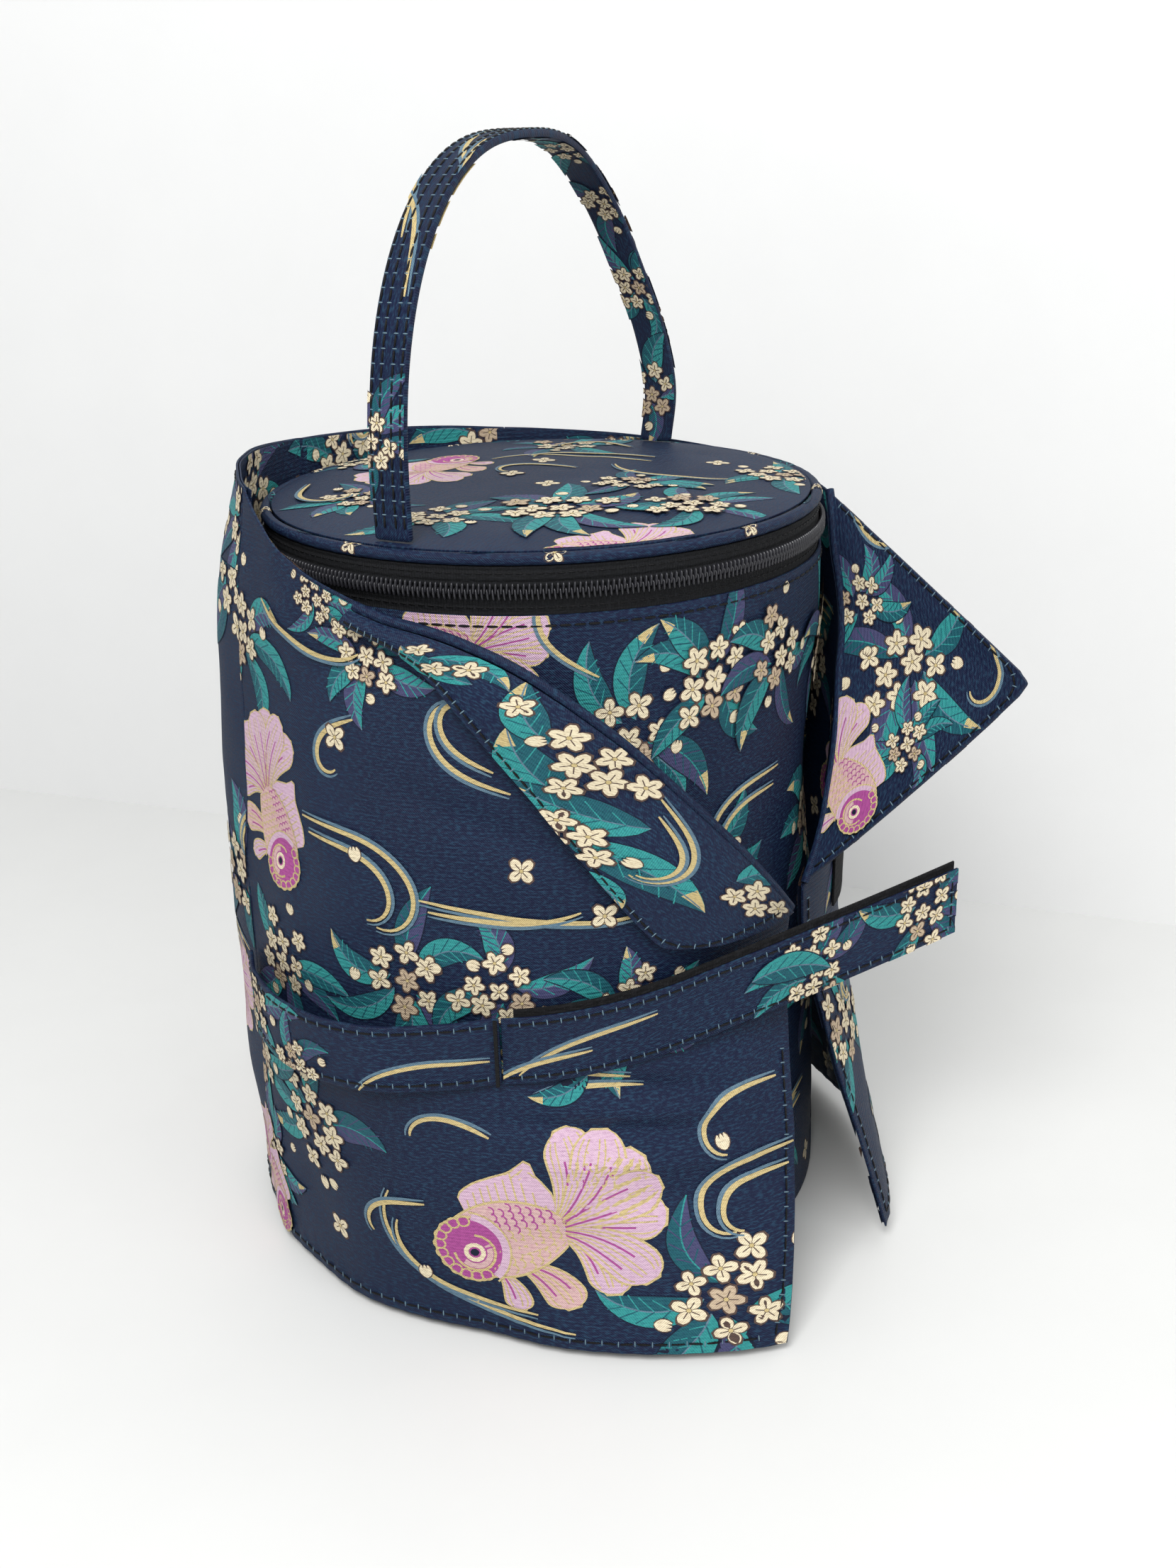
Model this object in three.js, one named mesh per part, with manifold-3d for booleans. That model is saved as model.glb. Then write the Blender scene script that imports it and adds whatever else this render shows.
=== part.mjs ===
// Knitting project bag: a round zipped drum with a lid and a carry handle, dressed in a wrap
// that opens down the front like a coat, with folded lapels, a slip pocket and a closing strap.
// Millimetres, +Z up. The origin is the middle of the base, on the floor. The wrap opens
// towards -Y, the lid's hinge and the wrap's fixed back are towards +Y, and the handle runs
// along X. Angles are degrees round +Z from the front opening, positive towards +X.
import * as THREE from 'three';
import { mergeVertices } from 'three/addons/utils/BufferGeometryUtils.js';
import Module from 'manifold-3d';

const wasm = await Module();
wasm.setup();

// Shared clearances
const seam = 0.3;            // gap between pieces that are sewn together
const layer = 0.3;           // gap between stacked layers of fabric
const slide = 0.3;           // running clearance of a zip slider

// Drum
const wallTopRadius = 96.5;  // outside of the outer fabric at the top edge
const wallSpread = 1.1;      // the soft wall is this much wider at the floor
const wallBaseRadius = wallTopRadius + wallSpread;
const wallHeight = 247;      // folded top edge of the outer fabric
const fabric = 0.8;          // outer fabric with its backing
const foam = 2.3;            // padding between outer fabric and lining
const liningCloth = 0.6;
const baseFabric = 1.0;
const baseBoard = 2.0;
const facingDepth = 10.3;    // height of the turned-in top edge
const drumSteps = 60;

// Zip round the lid
const zipBand = 15;          // visible height between the wall's top edge and the piping
const tapeThickness = 0.5;
const coilHeight = 2.7;      // one row of teeth, along Z
const coilThickness = 2.2;
const tapeTuck = 10.5;       // tape sewn inside the wall
const hingeHalfAngle = 14;   // half of the part of the rim with no zip, at the back
const sliderAngle = 158;     // the slider's parked place, hidden at the back
const sliderLength = 11;
const sliderHeight = 8.4;
const sliderPlate = 1.0;
const pullLength = 20;
const pullWidth = 4.6;
const pullThickness = 1.1;
const pullEye = 1.5;          // the pull starts this far above the chain's middle
const hingeClothGrowth = 0.1; // the hinge cloth is this much fatter than the tape, each side

// Lid
const pipingRadius = 1.9;
const lidFabric = 0.8;
const lidFoam = 3.0;
const lidDome = 2.4;         // rise of the middle of the lid over its edge
const lidSteps = 60;

// Handle
const handleWidth = 13;
const handleThickness = 3;
const handleInset = 2.4;     // from the lid's edge to the strap's centre line
const handleRise = 118.5;    // from the piping's lower edge to the strap's centre line
const handleRoundness = 2.6; // exponent of the arch's outline
const handleEndDepth = 3.6;  // strap end that is caught in the lid's seam
const handleEndProud = 0.2;  // the caught end stands this much above the lid
const handleHover = 0.4;     // gap under the strap's rounded ends

// Levels that the wrap's edges are measured from
const rimLevel = wallHeight + zipBand; // lower edge of the lid's piping
const beltLevel = 108;       // middle of the pocket's band at the bar tack

// Wrap
const wrapHem = 4;           // height of the hem above the floor
const rightHemRise = 2;      // the right panel's hem is this much higher
const panelSpread = 128;     // angle where each panel leaves the fixed back
const panelGap = 0.1;        // half of the gap at that place, in degrees
const collarSplit = rimLevel - 12; // above this height the back collar is a strip of its own
const seamStripDrop = 7;     // below the wall's top edge
const seamStripLength = 40;
const seamStrip = {
  low: wallHeight - seamStripDrop - seamStripLength, high: wallHeight - seamStripDrop, from: 176, to: 184,
};
const liningInset = 0.01;    // the lining stops short of the edges by this share
const liningShare = 0.985;

// The wrap's outer fabric by angle and distance from the wall, at the lid, the belt and the hem
const offWall = (places) => places.map(([angle, room]) => [angle, wallTopRadius + room]);
const backRoom = 6.7;
const leftShape = {
  lid: offWall([[-180, backRoom], [-128, 7.1], [-60, 8.1], [-12, 9.5]]),
  belt: offWall([[-180, 9.5], [-150, 13.5], [-128, 15.5], [-100, 14.5], [-80, 11.5], [-60, 9.7], [-12, 9.5]]),
  hem: offWall([
    [-180, 13.5], [-150, 18.5], [-128, 19.5], [-104, 19.5], [-86, 21], [-71, 24.5], [-52, 34.5], [-31, 49.5]]),
};
const rightShape = {
  lid: offWall([[-12, 6.9], [128, backRoom], [180, backRoom]]),
  belt: offWall([[-12, 6.9], [10, 8.5], [60, 10.5], [128, 10.5], [180, 9.5]]),
  hem: offWall([[-8, 43.5], [20, 27.5], [45, 18.5], [90, 15.5], [128, 14.5], [180, 13.5]]),
};

// The wrap's top edge by angle and height over the rim, at the back and on each panel's shoulder
const overRim = ([angle, rise]) => [angle, rimLevel + rise];
const leftShoulder = -10.6;  // where each crease starts, over the rim
const rightShoulder = -4;
const collarTop = [[128, 8], [150, 11.5], [180, 15], [205, 17.5], [232, 15]].map(overRim);
const leftTop = [[-128, 15], [-121, 8], [-111, -1], [-93.5, leftShoulder]].map(overRim);
const rightTop = [[38, rightShoulder], [69, 0.5], [97, 4], [128, 8]].map(overRim);

// Lapels: the crease runs from a shoulder to the waist, the corner is the lapel's own point
const waistRise = 27;        // the creases end this far over the belt
const cornerRise = 1;        // left lapel's corner over the end of its crease
const rightRise = 2;         // right crease ends this much higher than the left one
const flareDrop = 50;        // right lapel's corner below the rim
const leftCreaseStart = { angle: -93.5, height: rimLevel + leftShoulder };
const leftCreaseEnd = { angle: -11.5, height: beltLevel + waistRise };
const leftCorner = { angle: -41, height: leftCreaseEnd.height + cornerRise };
const rightCreaseStart = { angle: 38, height: rimLevel + rightShoulder };
const rightCreaseEnd = { angle: -5.5, height: leftCreaseEnd.height + rightRise };
const flareReach = 74.5;     // and its distance from the wall
const rightCorner = { angle: 5, height: rimLevel - flareDrop, radius: wallTopRadius + flareReach };
const leftHemCorner = -31;   // angle of each panel's front edge at the hem
const rightHemCorner = -2.3;
const lapelThickness = 1.6;
const lapelStandOff = 2.6;   // lapel above the panel that it is folded back on
const lapelEase = 0.5;       // room at the crease for the fold to turn
const lapelCurl = 0.7;       // how far round its arc the left lapel's free edge comes back
const lapelNarrow = 3;       // width of the left lapel where it starts
const lapelTrim = 0.03;      // share of the right lapel left free along its crease
const flareStandOff = 1.1;   // right lapel's crease outside the panel's edge

// Belt, slip pocket and strap
const beltWidth = 24;
const beltThickness = 1.6;
const beltDroop = 6;         // the band is this much lower at the back
const bandAngle = -70;       // angle of the bar tack
const pocketLayer = 1.1;     // pocket panel above the panel that it is sewn to
const pocketOverlap = 8;     // pocket fabric behind the band
const pocketGape = [[-128, 1.2], [-118, 5], [-105, 9], [-90, 10.5], [-78, 6], [-70, 2.2], [-30, 1.4]];
const tackWidth = 0.6;       // degrees round the bag
const tackHeight = 0.6;
const strapLength = 163;     // from the bar tack to the free end
const strapRoom = 16.9;      // from the wall to the strap where it follows the bag
const strapArcRadius = wallTopRadius + strapRoom;
const strapLeaves = -38;     // angle where the strap leaves the round of the bag
const strapRise = 26;        // the free end is this much higher than the bar tack
const strapCurl = 1.2;
const tapeLayer = 0.7;       // hook and loop tape
const hookFrom = 4;
const hookUnder = 3;         // the tape stops short of the strap's lower edge
const hookPeek = 2.4;        // and shows above its upper edge
const loopFrom = 8;
const loopTo = 62;
const loopRise = 22;         // middle of the loop tape above the belt

// Clear pocket inside the right panel, angles measured from the panel's front edge
const vinyl = 0.4;
const clearFrom = 13;
const clearTo = 46;
const pocketTopRise = 20;    // top of the pocket over the belt
const pocketHigh = beltLevel + pocketTopRise;
const pocketLowRise = 6;     // foot of the pocket above the hem
const zipFrontEdge = 3.2;
const zipBackEdge = 12.4;
const teethAngle = 8;
const teethHalf = 0.8;
const teethThickness = 1.4;
const teethShort = 4;        // teeth stop this far above the foot and below the top of their tape
const pocketSliderLength = 9;
const pocketSliderWidth = 5;
const pocketSliderThickness = 1.2;
const pocketSliderGap = 0.6;
const pocketPullLength = 16;
const pocketPullWidth = 3.4;
const pocketPullThickness = 0.9;
const pocketPullDrop = 1;

// Places worked out from the sizes above
const zipLevel = wallHeight + zipBand / 2;
const tapeOuter = wallTopRadius - fabric - layer;
const tapeInner = tapeOuter - tapeThickness;
const coilInner = tapeOuter + layer;
const pipingCentre = wallTopRadius - pipingRadius;
const lidEdge = pipingCentre - pipingRadius - seam;
const handleReach = lidEdge - handleInset;
const lidUnder = rimLevel - liningCloth;
const lidEdgeTop = rimLevel + layer + lidFoam + layer + lidFabric;
const handleAxisLevel = lidEdgeTop + handleHover + handleWidth / 2;
const bagRadians = THREE.MathUtils.degToRad;

const colours = {
  brocade: 0x22304f, lining: 0x1b2438, foam: 0xb9b7b0, board: 0x8d8577, tape: 0x15161a,
  coil: 0x0c0d10, metal: 0x2a2b2f, vinyl: 0xc9d3d6, thread: 0x101114,
};
const finishes = {
  brocade: [0.62, 0], lining: [0.8, 0], foam: [0.95, 0], board: [0.9, 0], tape: [0.85, 0],
  coil: [0.45, 0], metal: [0.35, 0.9], vinyl: [0.12, 0], thread: [0.7, 0],
};
const bag = new THREE.Group();

// Point at an angle, a radius and a height
function polar(angle, radius, height) {
  const a = bagRadians(angle);
  return new THREE.Vector3(radius * Math.sin(a), -radius * Math.cos(a), height);
}

// Smooth curve through given [place, value] pairs
function follow(pairs, place) {
  const last = pairs.length - 1;
  if (place <= pairs[0][0]) return pairs[0][1];
  if (place >= pairs[last][0]) return pairs[last][1];
  const k = pairs.findIndex((pair) => pair[0] > place) - 1;
  const slope = (i) => {
    const [from, to] = [pairs[Math.max(i - 1, 0)], pairs[Math.min(i + 1, last)]];
    return (to[1] - from[1]) / (to[0] - from[0]);
  };
  const [[x0, y0], [x1, y1]] = [pairs[k], pairs[k + 1]];
  const span = x1 - x0;
  const t = (place - x0) / span;
  const [t2, t3] = [t * t, t * t * t];
  return (2 * t3 - 3 * t2 + 1) * y0 + (t3 - 2 * t2 + t) * span * slope(k)
    + (3 * t2 - 2 * t3) * y1 + (t3 - t2) * span * slope(k + 1);
}

function add(name, geometry, kind) {
  const [roughness, metalness] = finishes[kind];
  const material = new THREE.MeshStandardMaterial({ color: colours[kind], roughness, metalness });
  const mesh = new THREE.Mesh(geometry, material);
  mesh.name = name;
  bag.add(mesh);
  return mesh;
}

function signedVolume(position, index) {
  const [a, b, c] = [new THREE.Vector3(), new THREE.Vector3(), new THREE.Vector3()];
  let sum = 0;
  for (let i = 0; i < index.length; i += 3) {
    a.fromBufferAttribute(position, index[i]);
    b.fromBufferAttribute(position, index[i + 1]);
    c.fromBufferAttribute(position, index[i + 2]);
    sum += a.dot(b.cross(c)) / 6;
  }
  return sum;
}

// Merges doubled vertices, drops flat triangles and turns the faces outwards
function closed(geometry) {
  geometry.deleteAttribute('normal');
  geometry.deleteAttribute('uv');
  const merged = mergeVertices(geometry, 1e-4);
  const index = [];
  const source = merged.index.array;
  for (let i = 0; i < source.length; i += 3) {
    const [a, b, c] = [source[i], source[i + 1], source[i + 2]];
    if (a !== b && b !== c && c !== a) index.push(a, b, c);
  }
  if (signedVolume(merged.attributes.position, index) < 0) index.reverse();
  merged.setIndex(index);
  return merged;
}

function fromLists(points, triangles) {
  const geometry = new THREE.BufferGeometry();
  geometry.setAttribute('position', new THREE.Float32BufferAttribute(points, 3));
  geometry.setIndex(triangles);
  return closed(geometry);
}

// Solid of revolution about Z from a closed [radius, height] outline
function turned(outline, steps) {
  const points = outline.map(([r, z]) => new THREE.Vector2(r, z));
  const geometry = new THREE.LatheGeometry([...points, points[0]], steps);
  geometry.rotateX(Math.PI / 2);
  return closed(geometry);
}

// A convex [radius, height] outline carried round part of the rim
function arc(outline, from, to, steps) {
  const points = [];
  const triangles = [];
  const n = outline.length;
  for (let i = 0; i <= steps; i++) {
    const angle = from + (to - from) * (i / steps);
    outline.forEach(([r, z]) => points.push(...polar(angle, r, z).toArray()));
  }
  for (let i = 0; i < steps; i++) {
    for (let k = 0; k < n; k++) {
      const [a, b] = [i * n + k, i * n + (k + 1) % n];
      triangles.push(a, a + n, b + n, a, b + n, b);
    }
  }
  for (let k = 1; k < n - 1; k++) {
    triangles.push(0, k, k + 1);
    triangles.push(steps * n, steps * n + k + 1, steps * n + k);
  }
  return fromLists(points, triangles);
}

const box = (inner, outer, low, high) => [[outer, low], [outer, high], [inner, high], [inner, low]];

// Sheet of even thickness about a surface: place(u, v) gives its middle, 0 to 1 both ways.
// lift moves the whole sheet along its own outward normal.
function sheet(place, thickness, stepsU, stepsV, lift = 0) {
  const middle = [];
  for (let i = 0; i <= stepsU; i++) {
    for (let j = 0; j <= stepsV; j++) middle.push(place(i / stepsU, j / stepsV));
  }
  const row = stepsV + 1;
  const at = (i, j) => middle[i * row + j];
  const points = [];
  for (const side of [1, -1]) {
    for (let i = 0; i <= stepsU; i++) {
      for (let j = 0; j <= stepsV; j++) {
        const alongU = at(Math.min(i + 1, stepsU), j).clone().sub(at(Math.max(i - 1, 0), j));
        const alongV = at(i, Math.min(j + 1, stepsV)).clone().sub(at(i, Math.max(j - 1, 0)));
        const normal = alongU.cross(alongV).normalize();
        const p = at(i, j).clone().addScaledVector(normal, lift + side * thickness / 2);
        points.push(...p.toArray());
      }
    }
  }
  const under = row * (stepsU + 1);
  const triangles = [];
  const quad = (a, b, c, d) => triangles.push(a, b, c, a, c, d);
  for (let i = 0; i < stepsU; i++) {
    for (let j = 0; j < stepsV; j++) {
      const [a, b, c, d] = [i * row + j, (i + 1) * row + j, (i + 1) * row + j + 1, i * row + j + 1];
      quad(a, b, c, d);
      triangles.push(a + under, c + under, b + under, a + under, d + under, c + under);
    }
  }
  for (let i = 0; i < stepsU; i++) {
    const [low, lowNext] = [i * row, (i + 1) * row];
    const [high, highNext] = [low + stepsV, lowNext + stepsV];
    quad(low, low + under, lowNext + under, lowNext);
    quad(high, highNext, highNext + under, high + under);
  }
  for (let j = 0; j < stepsV; j++) {
    const end = stepsU * row + j;
    quad(j, j + 1, j + 1 + under, j + under);
    quad(end, end + under, end + 1 + under, end + 1);
  }
  return fromLists(points, triangles);
}

function manifold(geometry) {
  const vertProperties = Float32Array.from(geometry.attributes.position.array);
  const triVerts = Uint32Array.from(geometry.index.array);
  return new wasm.Manifold(new wasm.Mesh({ numProp: 3, vertProperties, triVerts }));
}

function cut(geometry, tools) {
  let solid = manifold(geometry);
  for (const tool of tools) solid = solid.subtract(manifold(tool));
  const mesh = solid.getMesh();
  const points = [];
  for (let i = 0; i < mesh.vertProperties.length; i += mesh.numProp) {
    points.push(...mesh.vertProperties.subarray(i, i + 3));
  }
  return fromLists(points, Array.from(mesh.triVerts));
}

function block(width, depth, height, x, y, z) {
  const geometry = new THREE.BoxGeometry(width, depth, height);
  geometry.translate(x, y, z);
  return closed(geometry);
}

// Drum: outer wall, padding, lining, turned-in top edge and layered base
const wallLow = baseFabric + seam;
const skinIn = (thickness) => [wallBaseRadius - thickness, wallTopRadius - thickness];
const [foamOuterBase, foamOuterTop] = skinIn(fabric + layer);
const [foamInnerBase, foamInnerTop] = skinIn(fabric + layer + foam);
const facingTop = wallHeight - seam;
const facingLow = wallHeight - facingDepth;
const baseTop = baseFabric + seam + baseBoard + layer + liningCloth;
const tapeRoomTop = facingLow - seam;

add('drum_wall', turned([
  [wallBaseRadius - fabric, wallLow], [wallBaseRadius, wallLow],
  [wallTopRadius, wallHeight], [wallTopRadius - fabric, wallHeight],
], drumSteps), 'brocade');
add('drum_padding', turned([
  [foamInnerBase, baseTop], [foamOuterBase, baseTop],
  [foamOuterTop, tapeRoomTop], [foamInnerTop, tapeRoomTop],
], drumSteps), 'foam');
const liningOuterBase = foamInnerBase - layer;
const liningOuterTop = foamInnerTop - layer;
add('drum_lining', turned([
  [liningOuterBase - liningCloth, baseTop + layer], [liningOuterBase, baseTop + layer],
  [liningOuterTop, facingTop], [liningOuterTop - liningCloth, facingTop],
], drumSteps), 'lining');
add('top_facing', turned(
  box(liningOuterTop + layer, tapeInner - layer, facingLow, facingTop), drumSteps), 'brocade');

const plate = (radius, low, high) => turned([[0, low], [radius, low], [radius, high], [0, high]], drumSteps);
const boardLow = baseFabric + seam;
const boardTop = boardLow + baseBoard;
add('base_panel', plate(wallBaseRadius, 0, baseFabric), 'brocade');
add('base_board', plate(foamOuterBase - seam, boardLow, boardTop), 'board');
add('base_lining', plate(liningOuterBase - liningCloth - layer, boardTop + layer, baseTop), 'lining');

// Zip: two tapes with their rows of teeth, a fabric hinge at the back, and the slider
const zipFrom = -180 + hingeHalfAngle;
const zipTo = 180 - hingeHalfAngle;
const zipSteps = 55;
const zipSplit = seam / 2;
const tapeOutline = (low, high) => box(tapeInner, tapeOuter, low, high);
const coilOutline = (low, high) => box(coilInner, coilInner + coilThickness, low, high);
const zipArc = (outline) => arc(outline, zipFrom, zipTo, zipSteps);
add('zip_tape_lower', zipArc(tapeOutline(wallHeight - tapeTuck + seam, zipLevel - zipSplit)), 'tape');
add('zip_tape_upper', zipArc(tapeOutline(zipLevel + zipSplit, rimLevel - seam)), 'tape');
add('zip_teeth_lower', zipArc(coilOutline(zipLevel - zipSplit - coilHeight, zipLevel - zipSplit)), 'coil');
add('zip_teeth_upper', zipArc(coilOutline(zipLevel + zipSplit, zipLevel + zipSplit + coilHeight)), 'coil');
const hingeFrom = zipTo + panelGap;
const hingeTo = 360 + zipFrom - panelGap;
const hingeSteps = 6;
add('lid_hinge_cloth', arc(
  box(tapeInner - hingeClothGrowth, tapeOuter + hingeClothGrowth, facingLow + seam, rimLevel - seam),
  hingeFrom, hingeTo, hingeSteps), 'brocade');

// The slider clasps both rows of teeth: an outer plate with its crown, and an inner plate
// behind the tapes, joined above and below the chain only at the slider's nose
const sliderOuter = coilInner + coilThickness + slide;
const sliderInner = tapeInner - slide;
const sliderHalf = THREE.MathUtils.radToDeg(sliderLength / 2 / coilInner);
const sliderBand = (inner, outer, low, high) =>
  arc(box(inner, outer, low, high), sliderAngle - sliderHalf, sliderAngle + sliderHalf, 4);
const flange = coilHeight + zipSplit + slide;
const sliderFace = [
  [sliderOuter, zipLevel - sliderHeight / 2], [sliderOuter + sliderPlate, zipLevel - sliderHeight / 2],
  [sliderOuter + sliderPlate, zipLevel + sliderHeight / 2], [sliderOuter, zipLevel + sliderHeight / 2],
];
let sliderSolid = manifold(arc(
  sliderFace, sliderAngle - sliderHalf, sliderAngle + sliderHalf, 4));
for (const [low, high] of [
  [zipLevel - sliderHeight / 2, zipLevel - flange], [zipLevel + flange, zipLevel + sliderHeight / 2]]) {
  sliderSolid = sliderSolid.add(manifold(sliderBand(coilInner + slide, sliderOuter + slide, low, high)));
}
const sliderMesh = sliderSolid.getMesh();
add('zip_slider', fromLists(Array.from(sliderMesh.vertProperties), Array.from(sliderMesh.triVerts)), 'metal');
add('zip_slider_back', sliderBand(
  sliderInner - sliderPlate, sliderInner, zipLevel - sliderHeight / 2, zipLevel + sliderHeight / 2), 'metal');
const pullInner = sliderOuter + sliderPlate + seam;
const pullHalf = THREE.MathUtils.radToDeg(pullWidth / 2 / pullInner);
add('zip_pull', arc(
  box(pullInner, pullInner + pullThickness, zipLevel - pullLength, zipLevel + pullEye),
  sliderAngle - pullHalf, sliderAngle + pullHalf, 2), 'metal');

// Lid: cover, padding, lining and a piped edge
const foamTop = rimLevel + layer + lidFoam;
const coverLow = foamTop + layer;
const domeRing = (level) => {
  const outline = [];
  const rings = 3;
  for (let k = rings; k >= 0; k--) {
    const radius = lidEdge * k / rings;
    outline.push([radius, level + lidDome * (1 - (radius / lidEdge) ** 2)]);
  }
  return outline;
};
const domed = (low, high) => turned([...domeRing(low), ...domeRing(high).reverse()], lidSteps);
const slotWidth = handleThickness + 2 * seam;
const slotDepth = handleWidth + 2 * seam;
const slots = [-1, 1].map((side) => block(
  slotWidth, slotDepth, handleEndDepth * 3, side * handleReach, 0, coverLow));
add('lid_cover', cut(domed(coverLow, coverLow + lidFabric), slots), 'brocade');
const paddingEdge = handleReach - handleThickness / 2 - seam;
add('lid_padding', turned([
  [0, rimLevel], [paddingEdge, rimLevel], [paddingEdge, foamTop], [0, foamTop]], lidSteps), 'foam');
add('lid_lining', turned([
  [0, lidUnder - layer], [lidEdge, lidUnder - layer], [lidEdge, rimLevel - layer], [0, rimLevel - layer],
], lidSteps), 'lining');
const piping = new THREE.TorusGeometry(pipingCentre, pipingRadius, 8, lidSteps);
piping.translate(0, 0, rimLevel + pipingRadius);
add('lid_piping', closed(piping), 'brocade');

// Handle: an arched strap, and its two ends caught in the lid's seam
for (const [name, side] of [['handle_end_left', -1], ['handle_end_right', 1]]) {
  const top = lidEdgeTop + handleEndProud;
  add(name, block(
    handleThickness, handleWidth, handleEndDepth, side * handleReach, 0, top - handleEndDepth / 2), 'brocade');
}
const archSteps = 26;
const archPower = 2 / handleRoundness;
const archStart = Math.asin(((handleAxisLevel - rimLevel) / handleRise) ** (1 / archPower));
function handlePlace(u, v) {
  const across = (v - 0.5) * handleWidth;
  const t = archStart + (Math.PI - 2 * archStart) * u;
  const x = -Math.sign(Math.cos(t)) * Math.abs(Math.cos(t)) ** archPower * handleReach;
  const z = rimLevel + Math.sin(t) ** archPower * handleRise;
  const rounding = u === 0 || u === 1 ? Math.sqrt((handleWidth / 2) ** 2 - across ** 2) : 0;
  return new THREE.Vector3(x, across, z - rounding);
}
add('handle_strap', sheet(handlePlace, handleThickness, archSteps, 6), 'brocade');

// Wrap: the outer fabric bows out from the lid to the belt and hangs straight from there
function wrapRadius(angle, height, shape) {
  const top = follow(shape.lid, angle);
  const mid = follow(shape.belt, angle);
  if (height >= beltLevel) {
    const down = Math.max(Math.min((rimLevel - height) / (rimLevel - beltLevel), 1), 0);
    return top + (mid - top) * Math.sin(down * Math.PI / 2);
  }
  return mid + (follow(shape.hem, angle) - mid) * (beltLevel - height) / (beltLevel - wrapHem);
}
const leftAt = (angle, height) => polar(angle, wrapRadius(angle, height, leftShape), height);
const rightAt = (angle, height) => polar(angle, wrapRadius(angle, height, rightShape), height);
const underLining = -(fabric + liningCloth) / 2 - layer;
const insetShare = (v) => liningInset + liningShare * v;

// Fixed back of the wrap, its stand-up collar, and the seam strip that joins it to the drum
const backHalf = 180 - panelSpread - panelGap;
const backAt = (angle, height) => {
  const turn = angle > 180 ? angle - 360 : angle;
  return turn < 0 ? leftAt(turn, height) : rightAt(turn, height);
};
const backAngle = (u) => 180 - backHalf + 2 * backHalf * u;
const backPlace = (low, high) => (u, v) => backAt(backAngle(u), low + (high - low) * v);
add('wrap_back', sheet(backPlace(wrapHem, collarSplit - seam), fabric, 18, 4), 'brocade');
add('wrap_back_lining', sheet(
  backPlace(wrapHem + 1, collarSplit - seam), liningCloth, 18, 4, underLining), 'brocade');
function collarPlace(u, v) {
  const angle = backAngle(u);
  const high = follow(collarTop, angle);
  return backAt(angle, collarSplit + (high - collarSplit) * v);
}
const collarThickness = fabric + layer + liningCloth;
add('back_collar', sheet(collarPlace, collarThickness, 20, 3, (fabric - collarThickness) / 2), 'brocade');
const seamInner = wallTopRadius + 2 * seam;
const seamOuter = (height) => wrapRadius(180, height, rightShape) - fabric / 2 - liningCloth - 3 * layer;
const seamOutline = [
  [seamOuter(seamStrip.low), seamStrip.low], [seamOuter(seamStrip.high), seamStrip.high],
  [seamInner, seamStrip.high], [seamInner, seamStrip.low]];
add('wrap_seam_strip', arc(seamOutline, seamStrip.from, seamStrip.to, 2), 'brocade');

// Left panel: from the fixed back to the front edge, its top running down the lapel's crease
const onLine = (a, b, t) => a + (b - a) * t;
const leftFront = (height) => {
  const t = Math.min(Math.max((leftCreaseEnd.height - height) / (leftCreaseEnd.height - wrapHem), 0), 1);
  return onLine(leftCreaseEnd.angle, leftHemCorner, t);
};
function leftTopHeight(angle) {
  if (angle <= leftCreaseStart.angle) return follow(leftTop, angle);
  const t = (angle - leftCreaseStart.angle) / (leftCreaseEnd.angle - leftCreaseStart.angle);
  return onLine(leftCreaseStart.height, leftCreaseEnd.height, t);
}
const panelStart = -panelSpread + panelGap;
function leftPlace(u, v) {
  const height = onLine(wrapHem, leftTopHeight(onLine(panelStart, leftCreaseEnd.angle, u)), v);
  return leftAt(onLine(panelStart, leftFront(height), u), height);
}
add('left_panel', sheet(leftPlace, fabric, 26, 9), 'brocade');
add('left_panel_lining', sheet(
  (u, v) => leftPlace(u, insetShare(v)), liningCloth, 26, 9, underLining), 'brocade');

// Left lapel: folded outwards on the crease, its straight free edge falling to the corner
const lapelLift = fabric / 2 + layer + lapelThickness / 2;
function leftLapelPlace(u, v) {
  const creaseAngle = onLine(leftCreaseStart.angle, leftCreaseEnd.angle - 1, u);
  const creaseHeight = leftTopHeight(creaseAngle) - lapelNarrow;
  const freeAngle = onLine(leftCreaseStart.angle - 1, leftCorner.angle, u);
  const freeHeight = onLine(leftCreaseStart.height - 2 * lapelNarrow, leftCorner.height, u);
  const angle = onLine(freeAngle, creaseAngle, v);
  const height = onLine(freeHeight, creaseHeight, v);
  const stand = lapelEase + lapelStandOff * Math.sin(Math.PI * lapelCurl * (1 - v));
  return polar(angle, wrapRadius(angle, height, leftShape) + lapelLift + stand, height);
}
add('left_lapel', sheet(leftLapelPlace, lapelThickness, 22, 6), 'brocade');

// Slip pocket on the left panel: its face gapes at the top, where the band stiffens it
const pocketTop = beltLevel - beltWidth / 2 + pocketOverlap;
const pocketFold = 0.8;      // the pocket turns under the panel's hem
function pocketStand(angle, height) {
  const t = Math.max((height - wrapHem) / (beltLevel - wrapHem), 0);
  return follow(pocketGape, angle) * t ** 1.4;
}
function pocketPlace(u, v) {
  const height = onLine(wrapHem - pocketFold, pocketTop, v);
  const angle = onLine(panelStart, leftFront(height) - seam, u);
  const radius = wrapRadius(angle, Math.max(height, wrapHem), leftShape);
  return polar(angle, radius + fabric + pocketLayer + pocketStand(angle, height), height);
}
add('pocket_panel', sheet(pocketPlace, fabric, 28, 6), 'brocade');
const bandLift = fabric * 1.5 + pocketLayer + 3 * layer + seam + beltThickness / 2;
const beltTop = beltLevel + beltWidth / 2;
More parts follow.
